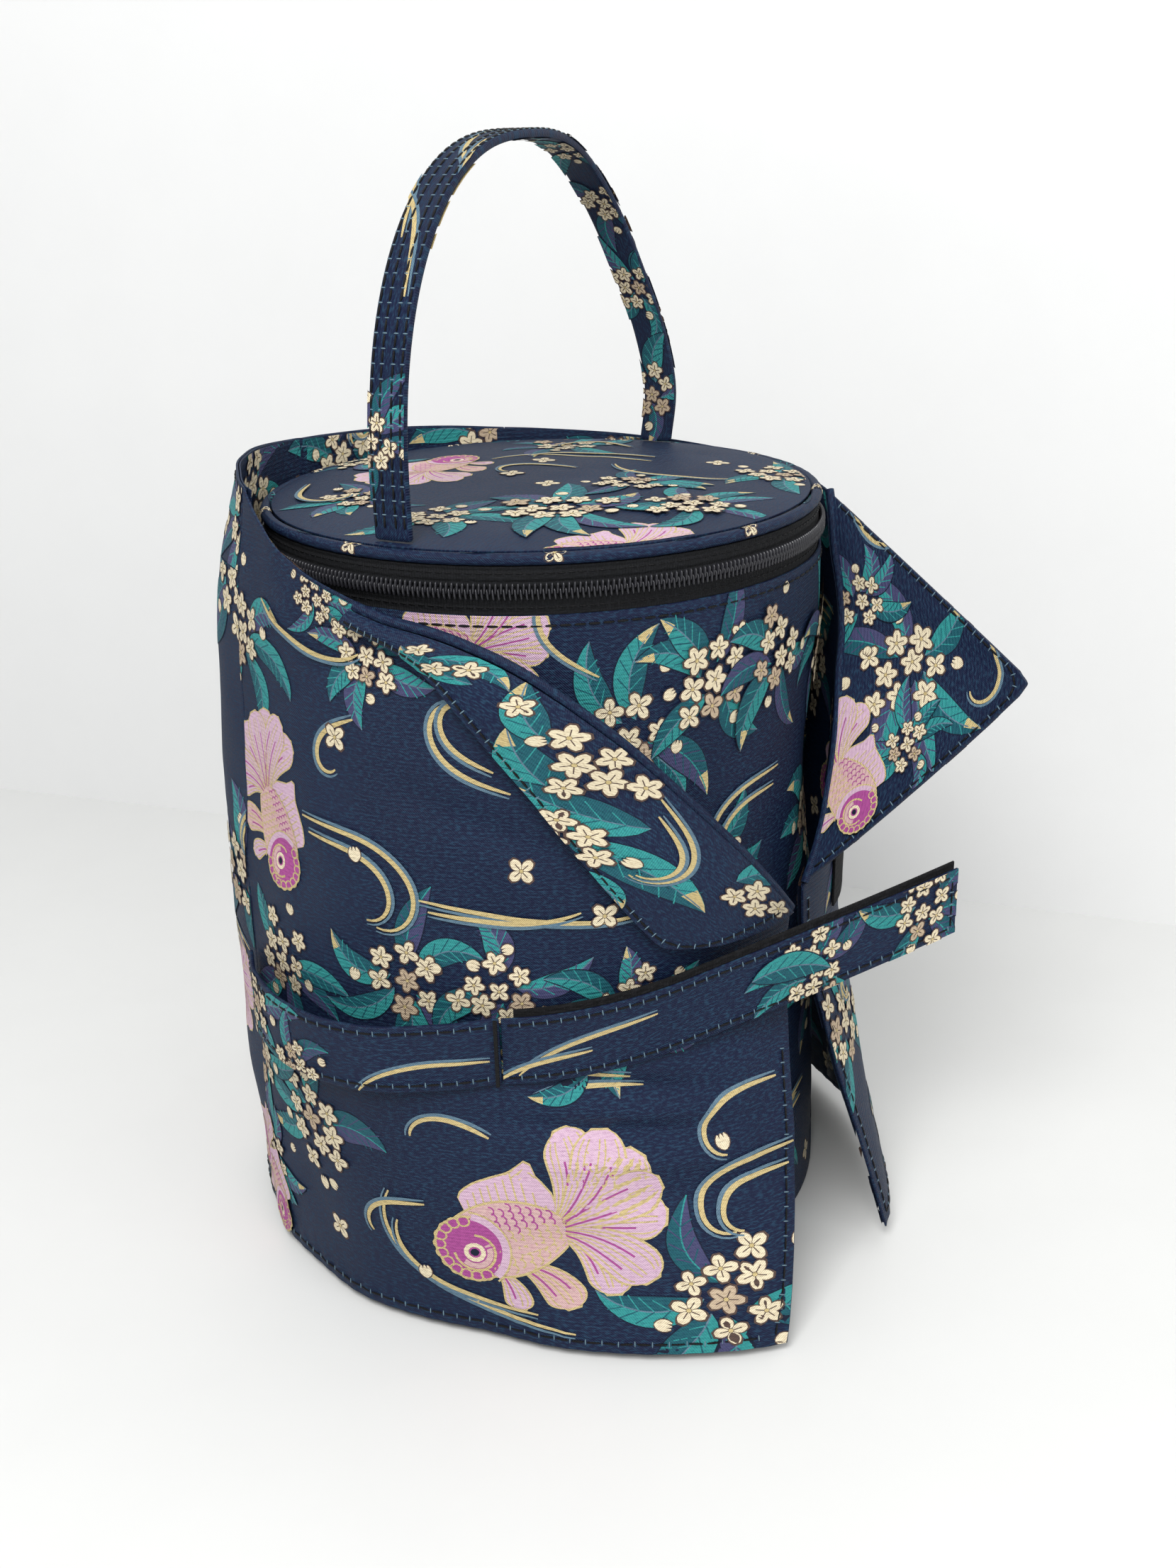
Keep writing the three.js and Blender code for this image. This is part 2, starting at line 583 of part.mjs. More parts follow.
function bandPlace(u, v) {
  const angle = onLine(panelStart, bandAngle, u);
  const radius = wrapRadius(angle, beltLevel, leftShape);
  const height = beltLevel + (v - 0.5) * beltWidth - beltDroop * (1 - u);
  return polar(angle, radius + bandLift + pocketStand(angle, beltTop), height);
}
add('pocket_band', sheet(bandPlace, beltThickness, 18, 3), 'brocade');
function tackPlace(u, v) {
  const start = bandPlace(1, 0.5);
  const radius = Math.hypot(start.x, start.y) + (beltThickness + tackHeight) / 2 + layer + seam;
  return polar(bandAngle + tackWidth * (u - 1.3), radius, beltLevel + (v - 0.5) * beltWidth);
}
add('bar_tack', sheet(tackPlace, tackHeight, 1, 2), 'thread');

// Free strap: outer fabric, hook tape along its inner side, and a thin backing
const strapStart = bandAngle + seam;
const strapArc = bagRadians(strapLeaves - strapStart) * strapArcRadius;
function strapPlace(lift, low, high, from, to) {
  return (u, v) => {
    const run = onLine(from, to, u);
    const height = beltLevel + onLine(low, high, v) + strapRise * (run / strapLength) ** strapCurl;
    const radius = strapArcRadius + lift;
    const turn = THREE.MathUtils.radToDeg(run / strapArcRadius);
    if (run <= strapArc) return polar(strapStart + turn, radius, height);
    const leave = polar(strapLeaves, radius, height);
    const ahead = polar(strapLeaves + 90, 1, 0);
    return leave.addScaledVector(ahead, run - strapArc);
  };
}
const beltHalf = beltWidth / 2;
add('strap_outer', sheet(strapPlace(0, -beltHalf, beltHalf, 0, strapLength), fabric, 22, 2), 'brocade');
const hookLift = -(fabric + tapeLayer) / 2 - layer;
add('strap_hook_tape', sheet(
  strapPlace(hookLift, -beltHalf + hookUnder, beltHalf + hookPeek, hookFrom, strapLength - 1),
  tapeLayer, 22, 2), 'tape');

// Right panel: mirrors the left one, with its lower front corner standing away from the drum
function rightTopHeight(angle) {
  if (angle >= rightCreaseStart.angle) return follow(rightTop, angle);
  const t = (angle - rightCreaseEnd.angle) / (rightCreaseStart.angle - rightCreaseEnd.angle);
  return onLine(rightCreaseEnd.height, rightCreaseStart.height, t);
}
const rightFront = (height) => {
  const t = Math.min(Math.max((rightCreaseEnd.height - height) / (rightCreaseEnd.height - wrapHem), 0), 1);
  return onLine(rightCreaseEnd.angle, rightHemCorner, t);
};
const rightEnd = panelSpread - panelGap;
function rightPlace(u, v) {
  const topAngle = onLine(rightCreaseEnd.angle, rightEnd, u);
  const height = onLine(wrapHem + rightHemRise, rightTopHeight(topAngle), v);
  return rightAt(onLine(rightFront(height), rightEnd, u), height);
}
add('right_panel', sheet(rightPlace, fabric, 26, 9), 'brocade');
add('right_panel_lining', sheet(
  (u, v) => rightPlace(u, insetShare(v)), liningCloth, 26, 9, underLining), 'brocade');

// Right lapel: turned out flat, away from the drum, to a square corner
const flareCorner = polar(rightCorner.angle, rightCorner.radius, rightCorner.height);
const flareRise = 0.4;
const flareFirst = 0.5;      // degrees between the lapel's foot and the panel's front edge
function rightLapelPlace(u, v) {
  const creaseAngle = onLine(rightCreaseEnd.angle + flareFirst, rightCreaseStart.angle, v);
  const creaseHeight = rightTopHeight(creaseAngle) + flareRise;
  const radius = wrapRadius(creaseAngle, creaseHeight, rightShape) + flareStandOff;
  const crease = polar(creaseAngle, radius, creaseHeight);
  const top = polar(rightCreaseStart.angle, radius, rightCreaseStart.height);
  const bottom = polar(rightCreaseEnd.angle, radius, rightCreaseEnd.height);
  const reach = v < 0.5 ? bottom.lerp(flareCorner, v * 2) : flareCorner.clone().lerp(top, v * 2 - 1);
  return reach.lerp(crease, u);
}
add('right_lapel', sheet(
  (u, v) => rightLapelPlace(lapelTrim + u * (1 - lapelTrim), lapelTrim + v * (1 - 2 * lapelTrim)),
  lapelThickness, 6, 20), 'brocade');

// On the right panel: loop tape outside for the strap, clear pocket with its own zip inside
function loopPlace(u, v) {
  const height = beltLevel + loopRise + (v - 0.5) * (beltWidth - hookFrom);
  return rightAt(onLine(loopFrom, loopTo, u), height);
}
const loopLift = (fabric + tapeLayer) / 2 + 2 * layer;
add('loop_tape', sheet(loopPlace, tapeLayer, 12, 3, loopLift), 'tape');
const insideLift = -(fabric / 2 + layer + liningCloth + layer);
function insidePlace(from, to, low, high) {
  return (u, v) => {
    const height = onLine(low, high, v);
    const front = rightFront(height);
    return rightAt(front + onLine(from, to, u), height);
  };
}
const pocketFoot = wrapHem + pocketLowRise;
add('clear_pocket', sheet(
  insidePlace(clearFrom, clearTo, pocketFoot, pocketHigh), vinyl, 10, 6, insideLift - vinyl / 2), 'vinyl');
add('pocket_zip_tape', sheet(
  insidePlace(zipFrontEdge, zipBackEdge, pocketFoot, pocketHigh), tapeThickness, 4, 6,
  insideLift - tapeThickness / 2), 'tape');
const teethLift = insideLift - tapeThickness - layer - seam - teethThickness / 2;
add('pocket_zip_teeth', sheet(
  insidePlace(teethAngle - teethHalf, teethAngle + teethHalf, pocketFoot + teethShort, pocketHigh - teethShort),
  teethThickness, 1, 6, teethLift), 'coil');

// Slider of the clear pocket, parked at the top of its straight run, with its pull hanging
const onTeeth = (height) => rightAt(rightFront(height) + teethAngle, height);
const zipFoot = onTeeth(pocketFoot + teethShort);
const zipHead = onTeeth(beltLevel - teethShort);
const zipUp = zipHead.clone().sub(zipFoot).normalize();
const zipSide = polar(rightFront(pocketHigh) + teethAngle + 90, 1, 0);
function alongZip(fromHead, width, length) {
  return (u, v) => zipHead.clone()
    .addScaledVector(zipUp, -fromHead + (v - 0.5) * length)
    .addScaledVector(zipSide, (u - 0.5) * width);
}
const pocketSliderLift = teethLift - teethThickness / 2 - pocketSliderGap - pocketSliderThickness / 2;
add('pocket_slider', sheet(
  alongZip(pocketSliderLength / 2, pocketSliderWidth, pocketSliderLength), pocketSliderThickness, 1, 1,
  pocketSliderLift), 'metal');
add('pocket_pull', sheet(
  alongZip(pocketPullLength / 2 + pocketPullDrop, pocketPullWidth, pocketPullLength), pocketPullThickness, 1, 1,
  pocketSliderLift - pocketSliderThickness / 2 - seam - pocketPullThickness / 2), 'metal');

export default bag;
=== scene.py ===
"""Knitting project bag: a round zipped drum in a brocade wrap that opens down the front like a coat.

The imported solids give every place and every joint.  This script dresses them with cloth, its woven
figure, seams, zip and film, and sets them on a pale floor in soft light.  Lengths inside the classes
are millimetres in the bag's own frame; angles are degrees round +Z from the front opening, positive
towards +X.
"""
from __future__ import annotations

import logging
import math
import random
from dataclasses import dataclass, replace
from enum import Enum
from functools import cache
from typing import Callable, Sequence

import bpy
import numpy as np
from bpy.types import ID, Material, Mesh, NodeSocket, NodeTree, Object
from bpy.types import Node as ShaderNode
from mathutils import Matrix, Vector


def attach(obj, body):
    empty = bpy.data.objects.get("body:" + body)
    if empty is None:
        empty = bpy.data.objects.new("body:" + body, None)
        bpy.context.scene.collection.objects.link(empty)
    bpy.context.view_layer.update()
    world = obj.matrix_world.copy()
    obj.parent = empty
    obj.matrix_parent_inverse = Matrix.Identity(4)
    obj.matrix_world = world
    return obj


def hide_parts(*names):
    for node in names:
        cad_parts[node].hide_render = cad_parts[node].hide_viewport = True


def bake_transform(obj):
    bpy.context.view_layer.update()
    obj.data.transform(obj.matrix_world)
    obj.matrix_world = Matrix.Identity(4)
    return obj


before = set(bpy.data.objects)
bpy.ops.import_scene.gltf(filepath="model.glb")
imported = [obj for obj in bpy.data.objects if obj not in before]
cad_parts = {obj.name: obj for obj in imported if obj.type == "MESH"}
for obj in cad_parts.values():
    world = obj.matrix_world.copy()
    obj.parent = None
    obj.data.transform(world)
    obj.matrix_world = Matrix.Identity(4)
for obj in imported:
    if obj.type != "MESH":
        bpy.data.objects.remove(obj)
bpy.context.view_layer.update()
log = logging.getLogger("project_bag")

MM = 0.001
RIM = 262.0  # height of the drum's rim, where the lid closes
BELT = 108.0  # height of the pocket's band and of the strap
HEM = 4.0  # height of the wrap's hem
Pair = tuple[float, float]
Pairs = Sequence[Pair]
Colour = tuple[int, int, int]
Array = np.ndarray
Flat = tuple[Array, Array]
Dent = tuple[Pair, Pair, float, float]


# --- numbers and places
def polar(angle: Array | float, radius: Array | float, height: Array | float) -> Array:
    """Points at angles, radii and heights.

    Args:
        angle: Degrees from the front opening.
        radius: Distance from the bag's axis.
        height: Height over the floor.

    Returns:
        An array of points, one row each.
    """
    a = np.radians(angle)
    x, y, z = np.broadcast_arrays(radius * np.sin(a), -radius * np.cos(a), height)
    return np.stack([x, y, z], axis=-1).astype(float)


def metres(point: Array) -> tuple[float, float, float]:
    x, y, z = (float(c) * MM for c in np.asarray(point).reshape(3))
    return x, y, z


def curve(pairs: Pairs, place: Array) -> Array:
    """Smooth values through given places.

    Args:
        pairs: Place and value, in rising order of place.
        place: Where the values are wanted.

    Returns:
        One value for each place, level beyond the ends.
    """
    xs, ys = np.array([p[0] for p in pairs], float), np.array([p[1] for p in pairs], float)
    slope = np.empty_like(ys)
    slope[1:-1] = (ys[2:] - ys[:-2]) / (xs[2:] - xs[:-2])
    slope[0] = (ys[1] - ys[0]) / (xs[1] - xs[0])
    slope[-1] = (ys[-1] - ys[-2]) / (xs[-1] - xs[-2])
    at = np.clip(np.asarray(place, float), xs[0], xs[-1])
    k = np.clip(np.searchsorted(xs, at, side="right") - 1, 0, len(xs) - 2)
    span = xs[k + 1] - xs[k]
    t = (at - xs[k]) / span
    t2, t3 = t * t, t * t * t
    return ((2 * t3 - 3 * t2 + 1) * ys[k] + (t3 - 2 * t2 + t) * span * slope[k]
            + (3 * t2 - 2 * t3) * ys[k + 1] + (t3 - t2) * span * slope[k + 1])


def ripple(x: Array, y: Array, seed: int, size: float = 1.0) -> Array:
    """Soft unevenness of sewn cloth.

    Args:
        x: Places along the cloth.
        y: Places up the cloth.
        seed: Picks one of many patterns.
        size: Height of the unevenness, about its largest value.

    Returns:
        A height for each place.
    """
    rng = random.Random(seed)
    total = np.zeros(np.broadcast(x, y).shape)
    for wavelength, height in ((96, 0.42), (63, 0.30), (44, 0.2), (31, 0.13), (21, 0.07), (14, 0.03)):
        for _ in range(2):
            turn, shift = rng.uniform(0, math.tau), rng.uniform(0, math.tau)
            total += height * np.sin(math.tau * (x * math.cos(turn) + y * math.sin(turn)) / wavelength + shift)
    return total * size


def dents(x: Array, y: Array, rows: Sequence[Dent]) -> Array:
    """Soft dents and bulges.

    Args:
        x: Places along the cloth.
        y: Places up the cloth.
        rows: Middle, half length and half width, degrees that the length is turned, and depth of each.

    Returns:
        A height for each place.
    """
    total = np.zeros(np.broadcast(x, y).shape)
    for (middle_x, middle_y), (long, wide), turn, depth in rows:
        c, s = math.cos(math.radians(turn)), math.sin(math.radians(turn))
        dx, dy = x - middle_x, y - middle_y
        total += depth * np.exp(-((dx * c + dy * s) / long) ** 2 - ((dy * c - dx * s) / wide) ** 2)
    return total


def lengths(line: Array) -> Array:
    """Distance of each point along a line from its start."""
    return np.concatenate([[0], np.cumsum(np.linalg.norm(np.diff(line, axis=0), axis=1))])


# --- finishes
def srgb(colour: Sequence[int]) -> tuple[float, float, float, float]:
    """Linear colour with full alpha from 0 to 255 values."""
    r, g, b = (((c / 255 + 0.055) / 1.055) ** 2.4 if c > 10 else c / 255 / 12.92 for c in colour)
    return r, g, b, 1.0


@dataclass(frozen=True)
class Yarn:
    """Finish of a woven cloth, or of one yarn colour of the woven figure."""

    name: str
    colour: Colour
    crossing: Colour
    share: float = 0.35
    roughness: float = 0.6
    sheen: float = 0.25
    pitch: float = 0.55
    relief: float = 0.12
    slant: float = 1.0


NAVY = Yarn("navy_satin", (11, 21, 50), (41, 76, 100), 0.5, 0.6, 0.02, 0.8, 0.14, 1.0)
LINING = Yarn("dark_lining", (20, 26, 46), (30, 38, 60), 0.2, 0.8, 0.03, 0.4, 0.06, 0.0)
CREAM = Yarn("cream_weft", (226, 213, 182), (166, 142, 110), 0.45, 0.7, 0.04, 0.7, 0.2, -1.0)
SAND = Yarn("sand_weft", (192, 172, 146), (140, 114, 94), 0.45, 0.7, 0.04, 0.7, 0.2, -1.0)
GOLD = Yarn("gold_weft", (200, 180, 128), (122, 102, 68), 0.45, 0.6, 0.05, 0.7, 0.2, -1.0)
BRONZE = Yarn("bronze_weft", (84, 66, 58), (40, 38, 52), 0.45, 0.7, 0.04, 0.7, 0.14, -1.0)
TEAL = Yarn("teal_weft", (46, 137, 135), (30, 88, 102), 0.5, 0.6, 0.06, 0.7, 0.16, 0.6)
SEA = Yarn("deep_teal_weft", (24, 84, 94), (20, 46, 74), 0.5, 0.6, 0.06, 0.7, 0.16, 0.6)
PLUM = Yarn("plum_weft", (66, 66, 100), (32, 42, 78), 0.45, 0.6, 0.05, 0.7, 0.14, 0.6)
LILAC = Yarn("lilac_weft", (204, 173, 192), (168, 126, 158), 0.5, 0.65, 0.05, 0.7, 0.18, 1.0)
ROSE = Yarn("rose_weft", (204, 170, 166), (172, 112, 136), 0.5, 0.65, 0.05, 0.7, 0.18, 1.0)
MAGENTA = Yarn("magenta_weft", (164, 74, 140), (120, 50, 108), 0.45, 0.65, 0.05, 0.7, 0.18, 1.0)
MIST = Yarn("pale_blue_weft", (92, 118, 134), (48, 72, 96), 0.5, 0.6, 0.05, 0.7, 0.14, -1.0)
INK = Yarn("ink_weft", (14, 22, 42), (26, 36, 60), 0.3, 0.7, 0.02, 0.7, 0.1, 0.0)
THREAD = Yarn("black_thread", (8, 8, 10), (20, 20, 24), 0.3, 0.55, 0.05, 0.35, 0.08, 1.0)
TICK = Yarn("pale_tick", (104, 128, 138), (80, 104, 120), 0.3, 0.7, 0.04, 0.4, 0.05, 0.0)
TAPE = Yarn("black_tape", (16, 17, 19), (38, 39, 43), 0.4, 0.85, 0.04, 0.9, 0.25, 0.0)
HOOK = Yarn("hook_tape", (14, 14, 16), (46, 46, 50), 0.4, 0.9, 0.04, 1.1, 0.45, 0.0)
BATTING = Yarn("batting", (196, 193, 184), (214, 212, 206), 0.5, 0.95, 0.1, 2.4, 0.3, 0.3)
BOARD = Yarn("stiffening_board", (142, 132, 116), (122, 112, 98), 0.3, 0.9, 0.0, 3.0, 0.05, 0.0)


@dataclass(frozen=True)
class Hard:
    """Finish of metal or moulded nylon: metallic is 1 for metal, grain the fineness of its scratches."""

    name: str
    colour: Colour
    roughness: float
    metallic: float
    grain: float


NYLON = Hard("coil_nylon", (34, 34, 38), 0.3, 0.0, 2.0)
ENAMEL = Hard("dark_enamel", (44, 46, 50), 0.34, 0.9, 1.5)


class Node:
    """Short ways to make and join shader nodes."""

    def __init__(self, tree: NodeTree) -> None:
        """Works on one node tree."""
        self.tree = tree

    def add(self, kind: str, **settings: object) -> ShaderNode:
        """Adds a node.

        Args:
            kind: Its type, without the ShaderNode in front.
            **settings: Its properties.

        Returns:
            The node.
        """
        node = self.tree.nodes.new("ShaderNode" + kind)
        for key, value in settings.items():
            setattr(node, key, value)
        return node

    def feed(self, target: NodeSocket, value: object) -> None:
        """Joins a socket to a target, or sets a plain value on it.

        Args:
            target: An input socket.
            value: An output socket, or a value.
        """
        if isinstance(value, NodeSocket):
            self.tree.links.new(value, target)
        else:
            target.default_value = value

    def math(self, operation: str, *values: object) -> NodeSocket:
        """A math node's result.

        Args:
            operation: Its operation.
            *values: Up to three sockets or numbers.

        Returns:
            The output socket.
        """
        node = self.add("Math", operation=operation)
        for socket, value in zip(node.inputs, values):
            self.feed(socket, value)
        return node.outputs[0]

    def mix(self, share: object, low: object, high: object) -> NodeSocket:
        """Blend of two colours.

        Args:
            share: How much of the second one.
            low: The first colour.
            high: The second colour.

        Returns:
            The colour socket.
        """
        node = self.add("Mix", data_type="RGBA")
        self.feed(node.inputs["Factor"], share)
        self.feed(node.inputs[6], low)
        self.feed(node.inputs[7], high)
        return node.outputs[2]

    def spread(self, value: object, *limits: float) -> NodeSocket:
        """A value carried from one range to another.

        Args:
            value: The value.
            *limits: From low, from high, to low, to high.

        Returns:
            The output socket.
        """
        node = self.add("MapRange")
        self.feed(node.inputs["Value"], value)
        self.preset(node, dict(zip(("From Min", "From Max", "To Min", "To Max"), limits)))
        return node.outputs["Result"]

    @staticmethod
    def preset(node: ShaderNode, values: dict[str, object]) -> None:
        """Sets plain values on a node's named inputs."""
        for name, value in values.items():
            node.inputs[name].default_value = value

    def noise(self, place: NodeSocket, scale: object, detail: float) -> NodeSocket:
        """A noise texture's value.

        Args:
            place: Where it is read.
            scale: Its scale, a socket or a number.
            detail: Its detail.

        Returns:
            The output socket.
        """
        node = self.add("TexNoise")
        self.feed(node.inputs["Vector"], place)
        self.feed(node.inputs["Scale"], scale)
        self.preset(node, {"Detail": detail})
        return node.outputs[0]

    def bump(self, shader: ShaderNode, height: NodeSocket, depth: float, strength: float) -> None:
        """Raises a shader's surface.

        Args:
            shader: The shader.
            height: The height's socket.
            depth: Its depth in millimetres.
            strength: Share of it that shows.
        """
        node = self.add("Bump")
        self.preset(node, {"Distance": depth * MM, "Strength": strength})
        self.feed(node.inputs["Height"], height)
        self.feed(shader.inputs["Normal"], node.outputs[0])


class Effects:
    """Shader node groups that more than one finish uses."""

    @staticmethod
    def _group(name: str, inputs: Sequence[tuple[str, str, float]], outputs: Sequence[str]) -> NodeTree:
        """A new group with its sockets.

        Args:
            name: The group's name.
            inputs: Name, socket type and first value of each input.
            outputs: Names of its value outputs.

        Returns:
            The group's tree.
        """
        tree = bpy.data.node_groups.new(name, "ShaderNodeTree")
        for label, kind, value in inputs:
            socket = tree.interface.new_socket(label, in_out="INPUT", socket_type=kind)
            if kind == "NodeSocketFloat":
                socket.default_value = value
        for label in outputs:
            tree.interface.new_socket(label, in_out="OUTPUT", socket_type="NodeSocketFloat")
        return tree

    @staticmethod
    @cache
    def weave() -> NodeTree:
        """Threads over and under each other, flecks of the crossing yarn, and uneven dye.

        Returns:
            The group: place in mm, pitch and slant in; height, fleck and dye out.
        """
        tree = Effects._group("weave", (("Place", "NodeSocketVector", 0), ("Pitch", "NodeSocketFloat", 0.5),
                                        ("Slant", "NodeSocketFloat", 1.0)), ("Height", "Fleck", "Dye"))
        n = Node(tree)
        given, result = tree.nodes.new("NodeGroupInput"), tree.nodes.new("NodeGroupOutput")
        split = n.add("SeparateXYZ")
        n.feed(split.inputs[0], given.outputs["Place"])
        x = n.math("DIVIDE", split.outputs[0], given.outputs["Pitch"])
        y = n.math("DIVIDE", split.outputs[1], given.outputs["Pitch"])
        slanted = n.math("MULTIPLY_ADD", y, given.outputs["Slant"], x)
        across = n.math("SINE", n.math("MULTIPLY", slanted, math.tau))
        along = n.math("SINE", n.math("MULTIPLY", y, math.tau * 0.5))
        n.feed(result.inputs["Height"], n.math("MULTIPLY_ADD", across, 0.6, n.math("MULTIPLY", along, 0.4)))
        thread = n.add("CombineXYZ")
        n.feed(thread.inputs[0], n.math("MULTIPLY", x, 0.42))
        n.feed(thread.inputs[1], n.math("MULTIPLY", y, 1.3))
        fleck, cloud = n.noise(thread.outputs[0], 1.0, 1.5), n.noise(given.outputs["Place"], 0.022, 2.0)
        n.feed(result.inputs["Fleck"], n.spread(fleck, 0.46, 0.68, 0.0, 1.0))
        n.feed(result.inputs["Dye"], n.spread(cloud, 0.3, 0.7, 0.0, 1.0))
        return tree

    @staticmethod
    @cache
    def wear() -> NodeTree:
        """Fine scratches and dust on a hard finish.

        Returns:
            The group: place in mm and grain in; scratch and dust out.
        """
        tree = Effects._group("wear", (("Place", "NodeSocketVector", 0), ("Grain", "NodeSocketFloat", 1.0)),
                              ("Scratch", "Dust"))
        n = Node(tree)
        given, result = tree.nodes.new("NodeGroupInput"), tree.nodes.new("NodeGroupOutput")
        for name, scale, detail, limits in (("Scratch", 1.4, 6.0, (0.45, 0.7)), ("Dust", 0.12, 3.0, (0.4, 0.75))):
            noise = n.noise(given.outputs["Place"], n.math("MULTIPLY", given.outputs["Grain"], scale), detail)
            n.feed(result.inputs[name], n.spread(noise, *limits, 0.0, 1.0))
        return tree


class Place(Enum):
    """Where a pattern takes its coordinates from."""

    FLAT = "flat"
    OBJECT = "object"


class Finishes:
    """Builds each finish once and hands it out."""

    @staticmethod
    def _start(name: str, place: Place, effect: NodeTree) -> tuple[Material, Node, ShaderNode, ShaderNode]:
        """A new material with its shader, and an effect that reads its place in millimetres.

        Args:
            name: The material's name.
            place: Where patterns take their coordinates from.
            effect: The effect's group.

        Returns:
            The material, its nodes, the shader and the effect's node.
        """
        material = bpy.data.materials.new(name)
        material.use_nodes = True
        n = Node(material.node_tree)
        shader = material.node_tree.nodes["Principled BSDF"]
        scale = n.add("VectorMath", operation="SCALE")
        if place is Place.FLAT:
            n.feed(scale.inputs[0], n.add("UVMap", uv_map="flat").outputs[0])
            scale.inputs["Scale"].default_value = 10.0
        else:
            n.feed(scale.inputs[0], n.add("TexCoord").outputs["Object"])
            scale.inputs["Scale"].default_value = 1 / MM
        group = n.add("Group", node_tree=effect)
        n.feed(group.inputs["Place"], scale.outputs[0])
        return material, n, shader, group

    @staticmethod
    @cache
    def yarn(finish: Yarn, place: Place = Place.FLAT) -> Material:
        """The material of a cloth or yarn.

        Args:
            finish: Its colours and weave.
            place: Where the weave takes its coordinates from.

        Returns:
            The material.
        """
        material, n, shader, weave = Finishes._start(f"{finish.name}_{place.value}", place, Effects.weave())
        n.preset(weave, {"Pitch": finish.pitch, "Slant": finish.slant})
        fleck = n.math("MULTIPLY", weave.outputs["Fleck"], finish.share)
        woven = n.mix(fleck, srgb(finish.colour), srgb(finish.crossing))
        deeper = tuple(int(c * 0.82) for c in finish.colour)
        n.feed(shader.inputs["Base Color"], n.mix(
            n.math("MULTIPLY", n.math("SUBTRACT", 1.0, weave.outputs["Dye"]), 0.35), woven, srgb(deeper)))
        n.feed(shader.inputs["Roughness"], n.spread(
            weave.outputs["Fleck"], 0.0, 1.0, finish.roughness - 0.06, finish.roughness + 0.12))
        tint = srgb(tuple(min(255, int(c * 1.2 + 40)) for c in finish.colour))
        n.preset(shader, {"Sheen Weight": finish.sheen, "Sheen Roughness": 0.45, "Sheen Tint": tint,
                          "Specular IOR Level": 0.2})
        height = n.math("MULTIPLY_ADD", weave.outputs["Fleck"], 0.5, weave.outputs["Height"])
        n.bump(shader, height, finish.relief, 0.7)
        return material

    @staticmethod
    @cache
    def hard(finish: Hard) -> Material:
        """The material of metal or moulded nylon.

        Args:
            finish: Its colour and surface.

        Returns:
            The material.
        """
        material, n, shader, wear = Finishes._start(finish.name, Place.OBJECT, Effects.wear())
        lighter = tuple(min(255, int(c * 1.35 + 14)) for c in finish.colour)
        n.feed(shader.inputs["Base Color"], n.mix(
            n.math("MULTIPLY", wear.outputs["Scratch"], 0.4), srgb(finish.colour), srgb(lighter)))
        n.feed(shader.inputs["Roughness"], n.spread(
            wear.outputs["Dust"], 0, 1, finish.roughness - 0.06, finish.roughness + 0.16))
        n.preset(wear, {"Grain": finish.grain})
        n.preset(shader, {"Metallic": finish.metallic})
        n.bump(shader, wear.outputs["Scratch"], 0.02, 0.4)
        return material

    @staticmethod
    def film() -> Material:
        """Clear flexible vinyl with faint handling marks.

        Returns:
            The material.
        """
        material, n, shader, wear = Finishes._start("clear_film", Place.OBJECT, Effects.wear())
        n.feed(shader.inputs["Roughness"], n.spread(wear.outputs["Dust"], 0, 1, 0.05, 0.2))
        n.preset(shader, {"Base Color": (0.92, 0.95, 0.96, 1), "Transmission Weight": 1.0, "IOR": 1.45})
        return material

    @staticmethod
    def plain(name: str, colour: Colour, roughness: float) -> Material:
        """The material of the floor or the wall, with the slightest unevenness.

        Args:
            name: The material's name.
            colour: Its colour.
            roughness: Its roughness.

        Returns:
            The material.
        """
        material, n, shader, wear = Finishes._start(name, Place.OBJECT, Effects.wear())
        n.preset(wear, {"Grain": 0.2})
        n.feed(shader.inputs["Base Color"], n.mix(
            n.math("MULTIPLY", wear.outputs["Dust"], 0.25), srgb(colour), srgb(tuple(c - 5 for c in colour))))
        n.preset(shader, {"Roughness": roughness})
        return material


# --- how pieces are held
@dataclass(frozen=True)
class Held:
    """The body that a piece moves with, or the two that it lies between; a piece between two bodies is not bent."""

    body: str
    other: str = ""
    start: tuple[float, float, float] = (0.0, 0.0, 0.0)
    end: tuple[float, float, float] = (0.0, 0.0, 0.0)

    def hold(self, piece: Object) -> None:
        """Fixes a finished piece to its body; a piece between two bodies is only baked in place, fixed to neither and
        not bent.

        Args:
            piece: The piece.
        """
        if self.other:
            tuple(self.start)
            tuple(self.end)
            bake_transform(piece)
        else:
            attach(piece, self.body)


def deselect() -> None:
    """Leaves edit mode and clears the selection."""
    if bpy.context.object and bpy.context.object.mode != "OBJECT":
        bpy.ops.object.mode_set(mode="OBJECT")
    bpy.ops.object.select_all(action="DESELECT")


def choose(piece: Object) -> None:
    """Makes one piece the only selected and the active one.

    Args:
        piece: The piece.
    """
    deselect()
    piece.select_set(True)
    bpy.context.view_layer.objects.active = piece


def apply(piece: Object, kind: str, **settings: object) -> None:
    """Adds a modifier and applies it.

    Args:
        piece: The piece.
        kind: The modifier's type.
        **settings: Its properties.
    """
    choose(piece)
    modifier = piece.modifiers.new(kind.lower(), kind)
    for key, value in settings.items():
        setattr(modifier, key, value)
    bpy.ops.object.modifier_apply(modifier=modifier.name)


# --- cloth
Surface = Callable[[Array, Array], Array]
Cut = Callable[[Array, Array], Flat]


def disc(radius: float) -> Cut:
    """Cut that spreads a unit square over a disc, from its middle outwards."""
    return lambda u, v: (radius * v * np.sin(math.tau * u), -radius * v * np.cos(math.tau * u))


